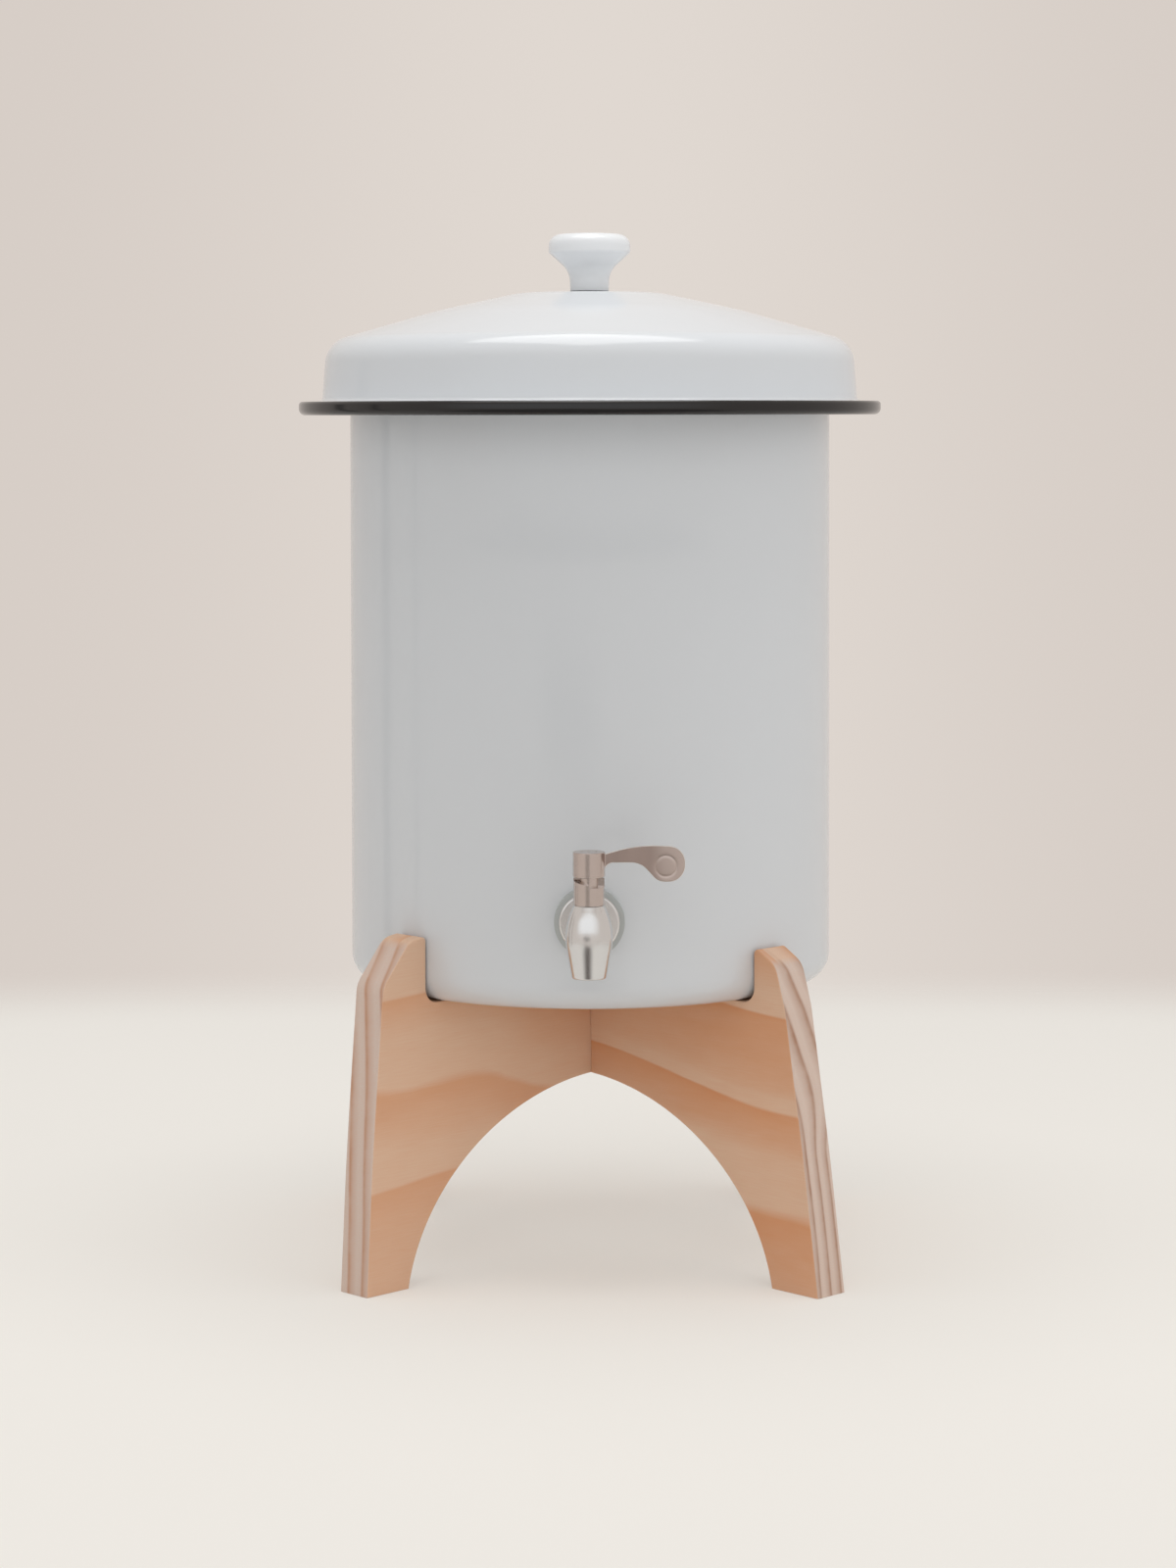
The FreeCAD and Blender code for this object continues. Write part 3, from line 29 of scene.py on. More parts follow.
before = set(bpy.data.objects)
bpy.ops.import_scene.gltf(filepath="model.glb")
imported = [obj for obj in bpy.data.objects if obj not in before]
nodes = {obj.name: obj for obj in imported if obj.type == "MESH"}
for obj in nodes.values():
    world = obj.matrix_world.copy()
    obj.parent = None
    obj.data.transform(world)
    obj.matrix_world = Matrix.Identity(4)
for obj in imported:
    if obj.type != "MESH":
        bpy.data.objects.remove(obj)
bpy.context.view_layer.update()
scene = bpy.context.scene
print("frame loaded,", len(nodes), "nodes")


# small helpers for node trees

class Tree:
    # one material's or world's node tree, with short ways to add and join nodes

    def __init__(self, tree):
        self.tree = tree
        tree.nodes.clear()

    def give(self, socket, value):
        # joins a socket to another one, or sets it to a plain value
        if isinstance(value, bpy.types.NodeSocket):
            self.tree.links.new(value, socket)
        else:
            socket.default_value = value

    def put(self, kind, links=None, **settings):
        node = self.tree.nodes.new(kind)
        for name, value in settings.items():
            setattr(node, name, value)
        for name, value in (links or {}).items():
            self.give(node.inputs[name], value)
        return node

    def math(self, operation, a, b=0.0, clamp=False):
        return self.put("ShaderNodeMath", {0: a, 1: b}, operation=operation, use_clamp=clamp).outputs[0]

    def length(self, a, b):
        # square root of a squared plus b squared
        squares = [self.math("POWER", part, 2.0) for part in (a, b)]
        return self.math("SQRT", self.math("ADD", *squares))

    def place(self, turn=0.0, scale=(1, 1, 1), shift=(0, 0, 0)):
        # object coordinates, turned about the upright axis, scaled and shifted
        coordinates = self.put("ShaderNodeTexCoord").outputs["Object"]
        return self.put("ShaderNodeMapping", {
            "Vector": coordinates, "Rotation": (0, 0, math.radians(turn)),
            "Scale": scale, "Location": shift}).outputs[0]

    def facing(self, turn=0.0):
        # the surface's own direction, turned about the upright axis, as three parts
        normal = self.put("ShaderNodeTexCoord").outputs["Normal"]
        return self.parts(self.put("ShaderNodeMapping", {
            "Vector": normal, "Rotation": (0, 0, math.radians(turn))}).outputs[0])

    def parts(self, vector):
        return self.put("ShaderNodeSeparateXYZ", {0: vector}).outputs

    def noise(self, where, scale, detail, rough=0.5):
        return self.put("ShaderNodeTexNoise", {
            "Vector": where, "Scale": scale, "Detail": detail, "Roughness": rough}).outputs["Fac"]

    def spread(self, value, reach, span=(0.0, 1.0), soft=False):
        # moves a value from one range to another and holds it there, straight or eased at both ends
        return self.put("ShaderNodeMapRange", {
            "Value": value, "From Min": reach[0], "From Max": reach[1], "To Min": span[0], "To Max": span[1],
        }, interpolation_type="SMOOTHSTEP" if soft else "LINEAR").outputs[0]

    def ramp(self, value, stops):
        # grey levels between stops, each a place and a level
        node = self.put("ShaderNodeValToRGB", {"Fac": value})
        stripe = node.color_ramp.elements
        while len(stripe) < len(stops):
            stripe.new(0.5)
        for element, (at, level) in zip(stripe, stops):
            element.position = at
            element.color = (level, level, level, 1.0)
        return node.outputs["Color"]

    def between(self, share, a, b):
        # mixes two colours, each a socket or three numbers
        node = self.put("ShaderNodeMix", data_type="RGBA")
        self.give(node.inputs[0], share)
        for socket, colour in ((node.inputs[6], a), (node.inputs[7], b)):
            self.give(socket, colour + (1.0,) if isinstance(colour, tuple) else colour)
        return node.outputs[2]

    def curve(self, value, points, reach, span):
        # a smooth curve through points given in the curve's own units
        node = self.put("ShaderNodeFloatCurve", {"Value": self.spread(value, reach)})
        line = node.mapping.curves[0]
        while len(line.points) < len(points):
            line.points.new(0.5, 0.5)
        for point, (x, y) in zip(line.points, points):
            point.location = ((x - reach[0]) / (reach[1] - reach[0]), (y - span[0]) / (span[1] - span[0]))
        node.mapping.update()
        return self.spread(node.outputs[0], (0.0, 1.0), span)

    def bump(self, height, depth, under=None):
        links = {"Height": height, "Distance": depth, "Strength": 1.0}
        if under is not None:
            links["Normal"] = under
        return self.put("ShaderNodeBump", links).outputs[0]


def srgb(red, green, blue):
    # screen colour 0..255 to the linear colour that the shader takes
    values = np.array([red, green, blue]) / 255
    linear = np.where(values <= 0.04045, values / 12.92, ((values + 0.055) / 1.055) ** 2.4)
    return tuple(float(value) for value in linear)


def newMaterial(name, colour=None, **settings):
    # a principled material, its own tree helper, and its shader node
    material = bpy.data.materials.new(name)
    material.use_nodes = True
    tree = Tree(material.node_tree)
    shader = tree.put("ShaderNodeBsdfPrincipled")
    for key, value in settings.items():
        shader.inputs[key].default_value = value
    if colour is not None:
        shader.inputs["Base Color"].default_value = colour + (1.0,)
    tree.put("ShaderNodeOutputMaterial", {"Surface": shader.outputs[0]})
    return material, tree, shader


def feed(tree, shader, **sockets):
    for name, value in sockets.items():
        tree.give(shader.inputs[name.replace("_", " ")], value)


# materials

enamelLook = {
    "white": srgb(220, 223, 226),
    "lidWhite": srgb(223, 226, 229),
    # the knob's own white, whiter than the lid's, raised further as painted light for the light the lid throws up
    # under its head
    "knobWhiteAndPaintedLight": srgb(238, 240, 242),
    "black": srgb(24, 23, 24),
    "roughness": 0.13,
    "ior": 1.5,
    "peelScale": 90.0,       # waves per metre of the fired surface
    "peelDepth": 0.00003,
}


def makeEnamel(name, colour):
    # fired glass enamel: a smooth coat that waves very slightly
    material, tree, shader = newMaterial(name, colour, Roughness=enamelLook["roughness"], IOR=enamelLook["ior"])
    peel = tree.noise(tree.place(), enamelLook["peelScale"], 2.0)
    feed(tree, shader, Normal=tree.bump(peel, enamelLook["peelDepth"]))
    return material


pineLook = {
    "light": srgb(233, 198, 170),
    "dark": srgb(220, 150, 101),
    "endLight": srgb(221, 203, 191),
    "roughness": 0.55,
    "ior": 1.4,
    # grey level across one growth layer, on the faces and on the cut ends
    "layerTone": [(0.0, 0.5), (0.025, 0.0), (0.45, 0.08), (0.78, 0.62), (0.98, 1.0), (1.0, 0.5)],
    "endTone": [(0.0, 0.45), (0.06, 0.05), (0.35, 0.0), (0.70, 0.42), (0.92, 1.0), (1.0, 0.45)],
    "layerShare": 0.9,       # how much of the layers' tone shows on the faces
    "layerRelief": 0.3,      # how far the dark part of a layer stands up, as a share of the fibres
    "layerShift": 8.0,       # whole layers added, so that no count falls below zero
    "layerReach": (0.0, 0.2),      # heights between which a layer's thickness changes
    "endReach": (0.08, 0.13),      # the same on the cut ends
    "endFacing": (0.35, 0.85),     # how squarely a surface faces along the board where end grain takes over
    # ranges of the curves below: along the board, up it, and of what they give
    "alongReach": (-0.2, 0.2),
    "heightReach": (0.0, 0.22),
    "sagSpan": (-0.03, 0.03),
    "countSpan": (0.0, 4.0),
    "endSpan": (-1.0, 3.0),
    "swayScale": 17.0,       # slow waves per metre
    "sway": 0.40,            # their height, in layers
    "endSway": 0.6,          # and the share of it on the cut ends
    "mottleScale": 60.0,
    "mottleStretch": 0.25,   # scale along the board as a share of that across it
    "mottleShare": 0.5,
    "endMottle": 0.3,        # least share of the dark layers on the cut ends
    "fibreScale": 1500.0,
    "fibreStretch": 0.03,
    "fibreShare": 0.5,
    "fibreTone": 0.1,        # dark colour mixed in all over, before the fibres vary it
    "fibreDepth": 0.00006,
}

# each board's growth layers: their count up the board's outer arris, how far they sag along it,
# the layer's thickness, and which face the count is for; then the same for its cut ends
boardGrain = {
    "lower": {
        "turn": 45.0, "face": -0.012, "layer": (0.0125, 0.0180), "contrast": 0.62,
        "endDark": srgb(194, 145, 116), "inward": -1.0, "endLayer": (0.0125, 0.0135),
        "endCount": [
            (0.0, 0.56), (0.04, 0.50), (0.08, 0.30), (0.12, 0.22), (0.155, 0.02), (0.185, -0.30), (0.215, -0.8)],
        "count": [
            (0.0, 0.62), (0.045, 0.80), (0.066, 1.06), (0.093, 1.60), (0.112, 1.90), (0.126, 2.02),
            (0.157, 2.62), (0.182, 3.12), (0.215, 3.6)],
        "sag": [
            (-0.200, 0.0), (-0.134, 0.003), (-0.115, 0.003), (-0.079, -0.008), (-0.047, -0.018),
            (0.02, -0.022), (0.1, -0.01), (0.2, 0.004)],
    },
    "upper": {
        "turn": 135.0, "face": 0.012, "layer": (0.0085, 0.0230), "contrast": 0.92,
        "endDark": srgb(166, 126, 104), "inward": 1.0, "endLayer": (0.0088, 0.0160),
        "endCount": [
            (0.0, 0.58), (0.08, 0.58), (0.10, 0.68), (0.118, 0.93), (0.15, 1.58), (0.185, 2.23), (0.215, 2.8)],
        "count": [
            (0.0, 0.68), (0.035, 1.0), (0.066, 1.2), (0.087, 1.72), (0.107, 2.0), (0.118, 2.58),
            (0.160, 3.0), (0.174, 3.45), (0.215, 4.0)],
        "sag": [
            (-0.200, 0.0), (-0.142, 0.0025), (-0.104, 0.0077), (-0.062, 0.0158), (-0.012, 0.0225),
            (0.06, 0.027), (0.2, 0.018)],
    },
}


def makePine(name, grain):
    # layers counted from one face: count(height less sag) plus depth over the layer's thickness;
    # each layer darkens slowly and ends sharply, and cut ends are greyer
    look = pineLook
    material, tree, shader = newMaterial(name, Roughness=look["roughness"], IOR=look["ior"])
    along, across, height = tree.parts(tree.place(turn=-grain["turn"]))

    def stretched(share):
        shorter = tree.math("MULTIPLY", along, share)
        return tree.put("ShaderNodeCombineXYZ", {0: shorter, 1: across, 2: height}).outputs[0]

    def swing(value):
        return tree.math("SUBTRACT", value, 0.5)

    def layerTone(layers, stops):
        shifted = tree.math("ADD", layers, look["layerShift"])
        return tree.ramp(tree.math("FRACT", shifted), stops)

    wide, fine = stretched(look["mottleStretch"]), stretched(look["fibreStretch"])
    sway = tree.math("MULTIPLY", swing(tree.noise(wide, look["swayScale"], 2.0)), look["sway"])
    fibre = tree.noise(fine, look["fibreScale"], 3.0, 0.6)
    mottle = tree.noise(wide, look["mottleScale"], 3.0, 0.6)
    depth = tree.math("SUBTRACT", grain["face"], across)

    # faces
    sag = tree.curve(along, grain["sag"], look["alongReach"], look["sagSpan"])
    count = tree.curve(tree.math("SUBTRACT", height, sag), grain["count"], look["heightReach"], look["countSpan"])
    thick = tree.spread(height, look["layerReach"], grain["layer"])
    layers = tree.math("ADD", tree.math("ADD", count, tree.math("DIVIDE", depth, thick)), sway)
    late = layerTone(layers, look["layerTone"])
    blotch = tree.math("MULTIPLY", swing(mottle), look["mottleShare"])
    faceTone = tree.math("ADD", tree.math("MULTIPLY", late, look["layerShare"]), blotch, clamp=True)
    face = tree.between(tree.math("MULTIPLY", faceTone, grain["contrast"]), look["light"], look["dark"])

    # cut ends
    endThick = tree.spread(height, look["endReach"], grain["endLayer"], soft=True)
    endDepth = tree.math("DIVIDE", tree.math("MULTIPLY", depth, grain["inward"]), endThick)
    endCount = tree.curve(height, grain["endCount"], look["heightReach"], look["endSpan"])
    endSway = tree.math("MULTIPLY", sway, look["endSway"])
    lateEnd = layerTone(tree.math("ADD", tree.math("ADD", endDepth, endCount), endSway), look["endTone"])
    endTone = tree.math("MULTIPLY", lateEnd, tree.math("ADD", look["endMottle"], mottle), clamp=True)
    end = tree.between(endTone, look["endLight"], grain["endDark"])

    # both together, and the fibres over them
    squarely = tree.math("ABSOLUTE", tree.facing(turn=-grain["turn"])[0])
    wood = tree.between(tree.spread(squarely, look["endFacing"], soft=True), face, end)
    streak = tree.math("MULTIPLY", swing(fibre), look["fibreShare"])
    colour = tree.between(tree.math("ADD", look["fibreTone"], streak, clamp=True), wood, look["dark"])
    relief = tree.math("ADD", tree.math("MULTIPLY", late, look["layerRelief"]), fibre)
    feed(tree, shader, Base_Color=colour, Normal=tree.bump(relief, look["fibreDepth"]))
    return material


steelLook = {
    # colour, roughness, grains per metre and the grain's depth
    "cast": (srgb(226, 226, 226), 0.20, 900.0, 0.00001),
    "turned": (srgb(206, 195, 189), 0.21, 1500.0, 0.000006),
    "spring": (srgb(204, 202, 198), 0.22, 2000.0, 0.000005),
    "grainReach": (0.3, 0.7),
    "roughSpan": (0.8, 1.2),       # least and most roughness over the grain, as shares of the steel's own
}


def makeSteel(name, plan):
    # tumbled stainless steel with a fine grain
    colour, roughness, grainScale, grainDepth = plan
    material, tree, shader = newMaterial(name, colour, Metallic=1.0)
    grain = tree.noise(tree.place(), grainScale, 3.0, 0.6)
    rough = tree.spread(grain, steelLook["grainReach"], [roughness * share for share in steelLook["roughSpan"]])
    feed(tree, shader, Roughness=rough, Normal=tree.bump(grain, grainDepth))
    return material


leverLook = {
    "cap": srgb(206, 194, 188),
    "paddleTone": srgb(172, 155, 148),
    # the thumb disc's colour, lighter than the paddle's: painted light
    "discPaintedLight": srgb(200, 185, 178),
    # near white painted where the paddle turns from facing forward or back: a painted highlight along its edges
    "edge": srgb(238, 232, 227),
    "valveY": -0.194,
    "paddleReach": (0.0093, 0.0099),     # distances from the valve's axis over which the paddle starts
    "discReach": (0.034, 0.045),         # distances along the lever over which the thumb disc starts
    "highlightFacing": (0.97, 0.80),          # how squarely a surface faces forward or back as it turns into an edge
    "frontFacing": (-0.9, -0.98),        # and forward alone, where the waves and the ring start
    "capRough": 0.19,
    "paddleRough": 0.14,     # added on the paddle
    "grainRough": 0.08,      # added with the grain
    "grainScale": 900.0,
    "grainShare": 0.3,
    "lineScale": 3800.0,     # brush lines per metre
    "lineStretch": 0.06,
    "lineDepth": 0.000012,
    # the cast paddle's slight waves along its length, and the ring cut into the thumb disc
    "waves": [
        (0.0, 0.0), (0.012, 0.0), (0.020, 0.00045), (0.029, 0.00010), (0.036, 0.0),
        (0.047, 0.0010), (0.057, 0.0007)],
    "waveReach": (0.0, 0.057),
    "waveSpan": (-0.001, 0.002),
    "ringAt": (0.0444, 0.2621),
    "ringRadius": 0.0060,
    "ringWidth": 0.0007,
    "ringDepth": 0.00030,
}


def makeLeverSteel(name):
    # polished round cap; outside it the flat paddle is brushed along its length, darker and duller. The thumb disc is
    # painted lighter than the rest of the paddle as painted light, and where the paddle turns from facing forward or
    # back it is painted near white, a painted highlight along its edges.
    look = leverLook
    material, tree, shader = newMaterial(name, Metallic=1.0)
    along, outward, height = tree.parts(tree.place(shift=(0, -look["valveY"], 0)))
    paddle = tree.spread(tree.length(along, outward), look["paddleReach"])
    lines = tree.noise(tree.place(scale=(look["lineStretch"], 1, 1)), look["lineScale"], 2.0, 0.6)
    grain = tree.noise(tree.place(), look["grainScale"], 3.0, 0.6)
    capRough = tree.math("ADD", look["capRough"], tree.math("MULTIPLY", grain, look["grainRough"]))
    rough = tree.math("ADD", tree.math("MULTIPLY", paddle, look["paddleRough"]), capRough)
    facing = tree.facing()[1]
    # painted highlight share: none where the paddle faces forward or back, all of it where the surface turns to an
    # edge
    edge = tree.spread(tree.math("ABSOLUTE", facing), look["highlightFacing"])
    # share of the painted light on the thumb disc, rising along the lever
    disc = tree.spread(along, look["discReach"], soft=True)
    # paddle colour: the thumb disc's painted light, then the painted edge highlight over it
    paddleTone = tree.between(edge, tree.between(disc, look["paddleTone"], look["discPaintedLight"]), look["edge"])
    tone = tree.between(paddle, look["cap"], paddleTone)
    scratch = tree.math("ADD", tree.math("MULTIPLY", lines, paddle), tree.math("MULTIPLY", grain, look["grainShare"]))
    waves = tree.curve(along, look["waves"], look["waveReach"], look["waveSpan"])
    # ring: distance from the disc's middle, less the ring's radius, over its width; one over one plus its square
    ring = tree.length(*[tree.math("SUBTRACT", part, at) for part, at in zip((along, height), look["ringAt"])])
    ring = tree.math("DIVIDE", tree.math("SUBTRACT", ring, look["ringRadius"]), look["ringWidth"])
    ring = tree.math("DIVIDE", look["ringDepth"], tree.math("ADD", 1.0, tree.math("POWER", ring, 2.0)))
    front = tree.spread(facing, look["frontFacing"])
    form = tree.math("MULTIPLY", tree.math("SUBTRACT", waves, ring), tree.math("MULTIPLY", paddle, front))
    cast = tree.bump(form, 1.0)
    feed(tree, shader, Base_Color=tone, Roughness=rough, Normal=tree.bump(scratch, look["lineDepth"], under=cast))
    return material


plainLook = {
    "clay": (srgb(196, 118, 82), {"Roughness": 0.85}),
    "ringPlastic": (srgb(226, 226, 222), {"Roughness": 0.35}),
    "silicone": (srgb(222, 226, 224), {"Roughness": 0.25, "Transmission Weight": 0.35, "IOR": 1.42}),
    "darkGasket": (srgb(46, 45, 47), {"Roughness": 0.55}),
}


def makePlain(name):
    colour, settings = plainLook[name]
    return newMaterial(name, colour, **settings)[0]


whiteEnamel = makeEnamel("whiteEnamel", enamelLook["white"])
lidEnamel = makeEnamel("lidEnamel", enamelLook["lidWhite"])
blackEnamel = makeEnamel("blackEnamel", enamelLook["black"])
knobEnamel = makeEnamel("knobEnamel", enamelLook["knobWhiteAndPaintedLight"])
lowerPine = makePine("lowerPine", boardGrain["lower"])
upperPine = makePine("upperPine", boardGrain["upper"])
castSteel = makeSteel("castSteel", steelLook["cast"])
turnedSteel = makeSteel("turnedSteel", steelLook["turned"])
leverSteel = makeLeverSteel("leverSteel")
springSteel = makeSteel("springSteel", steelLook["spring"])
clay = makePlain("clay")
ringPlastic = makePlain("ringPlastic")
silicone = makePlain("silicone")
darkGasket = makePlain("darkGasket")

finishes = {
    "lower_cross_board": lowerPine, "upper_cross_board": upperPine,
    "bucket": whiteEnamel, "filter_pot": clay, "pot_ring": ringPlastic,
    "lid": lidEnamel, "lid_knob": knobEnamel, "knob_gasket": darkGasket,
    "knob_washer": turnedSteel, "knob_screw": turnedSteel,
    "tap_body": castSteel, "tap_bonnet": turnedSteel, "tap_lever": leverSteel,
    "tap_cap_nut": turnedSteel, "tap_stem": turnedSteel, "tap_stopper": silicone,
    "stem_seal": darkGasket, "tap_spring": springSteel,
    "tap_outer_gasket": silicone, "tap_inner_gasket": silicone,
    "tap_washer": turnedSteel, "tap_nut": turnedSteel,
}
for name, material in finishes.items():
    mesh = nodes[name].data
    if not mesh.materials:
        mesh.materials.append(material)
    for place in range(len(mesh.materials)):
        mesh.materials[place] = material
print("materials made and given to the nodes")


# turned sheet pieces

def roundedLine(corners, steps):
    # a line through (radius, height) corners; a corner with a third number becomes the arc of that
    # radius which touches both its sides, drawn in equal steps of angle
    points = []
    for place, corner in enumerate(corners):
        here = np.array(corner[:2], float)
        if len(corner) < 3:
            points.append(here[None])
            continue
        back = np.array(corners[place - 1][:2], float) - here
        ahead = np.array(corners[place + 1][:2], float) - here
        back, ahead = back / np.linalg.norm(back), ahead / np.linalg.norm(ahead)
        half = math.acos(float(np.clip(back @ ahead, -1, 1))) / 2
        centre = here + (back + ahead) / np.linalg.norm(back + ahead) * corner[2] / math.sin(half)
        first = here + back * corner[2] / math.tan(half) - centre
        sweep = (math.pi - 2 * half) * np.sign(first[0] * back[1] - first[1] * back[0])
        turn = np.linspace(0, -sweep, steps)
        points.append(centre + np.stack([
            first[0] * np.cos(turn) - first[1] * np.sin(turn),
            first[0] * np.sin(turn) + first[1] * np.cos(turn)], 1))
    return np.concatenate(points)


def sheetLine(line, wall):
    # the outline of a bent sheet: the line, then the same line moved sideways by the wall and run back
    step = np.diff(line, axis=0)
    step /= np.linalg.norm(step, axis=1)[:, None]
    along = np.concatenate([step[:1], step[:-1] + step[1:], step[-1:]])
    along /= np.linalg.norm(along, axis=1)[:, None]
    lean = np.ones(len(line))
    lean[1:-1] = np.clip((along[1:-1] * step[1:]).sum(1), 0.5, 1)
    side = np.stack([along[:, 1], -along[:, 0]], 1) * (wall / lean)[:, None]
    return np.concatenate([line, (line + side)[::-1]])


def gridPiece(name, points):
    # a mesh of quads over a grid of points (rows, columns, 3); rows and columns close on themselves
    rows, columns = points.shape[:2]
    lower = np.arange(rows * columns).reshape(rows, columns)
    upper = np.roll(lower, -1, 0)
    quads = np.stack([lower, np.roll(lower, -1, 1), np.roll(upper, -1, 1), upper], -1).reshape(-1, 4)
    mesh = bpy.data.meshes.new(name)
    mesh.vertices.add(rows * columns)
    mesh.vertices.foreach_set("co", points.astype(np.float32).ravel())
    mesh.loops.add(quads.size)
    mesh.loops.foreach_set("vertex_index", quads.astype(np.int32).ravel())
    mesh.polygons.add(len(quads))
    mesh.polygons.foreach_set("loop_start", np.arange(0, quads.size, 4, dtype=np.int32))
    mesh.polygons.foreach_set("use_smooth", np.ones(len(quads), bool))
    mesh.update()
    mesh.validate()
    piece = bpy.data.objects.new(name, mesh)
    scene.collection.objects.link(piece)
    return piece


def turnedPiece(name, line, steps):
    # each point (radius, height) goes round the upright axis: (radius cos t, radius sin t, height)
    angle = np.linspace(0, 2 * math.pi, steps, endpoint=False)
    points = np.empty((len(line), steps, 3))
    points[..., 0] = line[:, None, 0] * np.cos(angle)
    points[..., 1] = line[:, None, 0] * np.sin(angle)
    points[..., 2] = line[:, None, 1]
    piece = gridPiece(name, points)
    shell = bmesh.new()
    shell.from_mesh(piece.data)
    bmesh.ops.remove_doubles(shell, verts=shell.verts, dist=1e-7)
    bmesh.ops.recalc_face_normals(shell, faces=shell.faces)
    shell.to_mesh(piece.data)
    shell.free()
    return piece


def dress(piece, body, slot, materials, *replaced):
    for material in materials:
        piece.data.materials.append(material)
    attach(piece, body)
    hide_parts(*replaced)


lidPlan = {
    "steps": 256,
    "cornerSteps": 12,
    "wall": 0.0012,
    "corners": [
        (0.00255, 0.5978), (0.044, 0.5978, 0.060), (0.095, 0.5868, 0.300), (0.1646, 0.5668, 0.018),
        (0.1674, 0.5300, 0.003), (0.1820, 0.5300, 0.0022), (0.1820, 0.5215, 0.0040),
        (0.1734, 0.5215, 0.0024), (0.1734, 0.5261)],
    "blackFrom": 0.1765,     # radius where the black edge starts on top of the flange
    "rollFrom": 0.1715,      # the roll lies outside this radius and below this height
    "rollBelow": 0.5286,
}


def makeLid():
    # pressed sheet turned round; faces beyond blackFrom, and the whole roll, are black
    outer = roundedLine(lidPlan["corners"], lidPlan["cornerSteps"])
    lid = turnedPiece("enamelLid", sheetLine(outer, lidPlan["wall"]), lidPlan["steps"])
    dress(lid, "cover", "lid_enamel", [lidEnamel, blackEnamel], "lid")
    mesh = lid.data
    centre = np.empty(len(mesh.polygons) * 3)
    mesh.polygons.foreach_get("center", centre)
    centre = centre.reshape(-1, 3)
    reach = np.hypot(centre[:, 0], centre[:, 1])
    roll = (reach > lidPlan["rollFrom"]) & (centre[:, 2] < lidPlan["rollBelow"])
    black = (reach > lidPlan["blackFrom"]) | roll
    mesh.polygons.foreach_set("material_index", black.astype(np.int32))


knobPlan = {
    "steps": 128,
    "cornerSteps": 12,
    "corners": [
        (0.00255, 0.5990), (0.0121, 0.5990, 0.0005), (0.0126, 0.6115, 0.0140), (0.0257, 0.6232, 0.0022),
        (0.0255, 0.6342, 0.0075), (0.0060, 0.6354, 0.0150), (0.0, 0.6354), (0.0, 0.6170), (0.00255, 0.6170)],
}


def makeKnob():
    # turned knob with a blind hole from below
    line = roundedLine(knobPlan["corners"], knobPlan["cornerSteps"])
    knob = turnedPiece("enamelKnob", line, knobPlan["steps"])
    dress(knob, "cover", "knob_enamel", [knobEnamel], "lid_knob")


bucketPlan = {
    "steps": 256,
    "cornerSteps": 10,
    "wall": 0.0012,
    "corners": [
        (0.0, 0.1694), (0.150, 0.1694, 0.016), (0.150, 0.5388, 0.0013), (0.1530, 0.5388, 0.0013),
        (0.1530, 0.5358, 0.0013), (0.1513, 0.5358)],
}


def makeBucket():
    # drawn sheet turned round, from the middle of the base to the end of the rolled rim
    outer = roundedLine(bucketPlan["corners"], bucketPlan["cornerSteps"])
    bucket = turnedPiece("enamelBucket", sheetLine(outer, -bucketPlan["wall"]), bucketPlan["steps"])
    dress(bucket, "tank", "white_enamel", [whiteEnamel], "bucket")


makeLid()
makeKnob()
makeBucket()
print("lid, knob and bucket turned")


# stage, lamps, world and camera

def newSheet(name, corners, material):
    # one flat face
    mesh = bpy.data.meshes.new(name)
    mesh.from_pydata(corners, [], [(0, 1, 2, 3)])
    mesh.materials.append(material)
    sheet = bpy.data.objects.new(name, mesh)
    scene.collection.objects.link(sheet)
    return sheet


def squareCorners(half):
    return [(-half, -half, 0), (half, -half, 0), (half, half, 0), (-half, half, 0)]


stageLook = {
    "floor": srgb(236, 232, 226),
    "floorGlow": srgb(168, 165, 160),    # what the camera sees of the paper besides its shading
    "floorShare": 0.6,
    "wall": srgb(224, 216, 209),
    "wallEdge": srgb(215, 206, 199),
    "floorFade": (0.80, 1.12),           # metres from the middle over which the floor fades
    "floorPower": 4.0,                   # two gives a round fade, more a squarer one
    "floorHalf": 1.6,
    "floorDrop": 0.0002,
}


def makeFloor():
    # a flat sheet under the object that fades into the wall's colour far out;
    # reach: the floorPower-th root of the sum of both coordinates to that power
    look = stageLook
    material = bpy.data.materials.new("floorPaper")
    material.use_nodes = True
    tree = Tree(material.node_tree)
    parts = tree.parts(tree.place())
    powers = [tree.math("POWER", tree.math("ABSOLUTE", parts[axis]), look["floorPower"]) for axis in (0, 1)]
    reach = tree.math("POWER", tree.math("ADD", *powers), 1 / look["floorPower"])
    fade = tree.spread(reach, look["floorFade"], soft=True)
    paper = tree.put("ShaderNodeBsdfDiffuse", {"Color": look["floor"] + (1.0,)})
    softer = tuple(part * look["floorShare"] for part in look["floor"]) + (1.0,)
    shaded = tree.put("ShaderNodeBsdfDiffuse", {"Color": softer})
    glow = tree.put("ShaderNodeEmission", {"Color": look["floorGlow"] + (1.0,), "Strength": 1.0})
    shown = tree.put("ShaderNodeAddShader", {0: shaded.outputs[0], 1: glow.outputs[0]})
    seen = tree.put("ShaderNodeLightPath").outputs["Is Camera Ray"]
    paper = tree.put("ShaderNodeMixShader", {0: seen, 1: paper.outputs[0], 2: shown.outputs[0]})
    clear = tree.put("ShaderNodeBsdfTransparent")
    mixed = tree.put("ShaderNodeMixShader", {0: fade, 1: paper.outputs[0], 2: clear.outputs[0]})
    tree.put("ShaderNodeOutputMaterial", {"Surface": mixed.outputs[0]})
    floor = newSheet("floor", squareCorners(look["floorHalf"]), material)
    floor.location.z = -look["floorDrop"]


worldLook = {
    "tint": (1.0, 0.99, 0.98),
    "even": 0.50,            # light from all round
    "front": 0.07,           # more of it from the camera's side
    "right": 0.12,           # and from the right
    "edge": 0.17,            # sideways direction where the wall has its edge colour
}


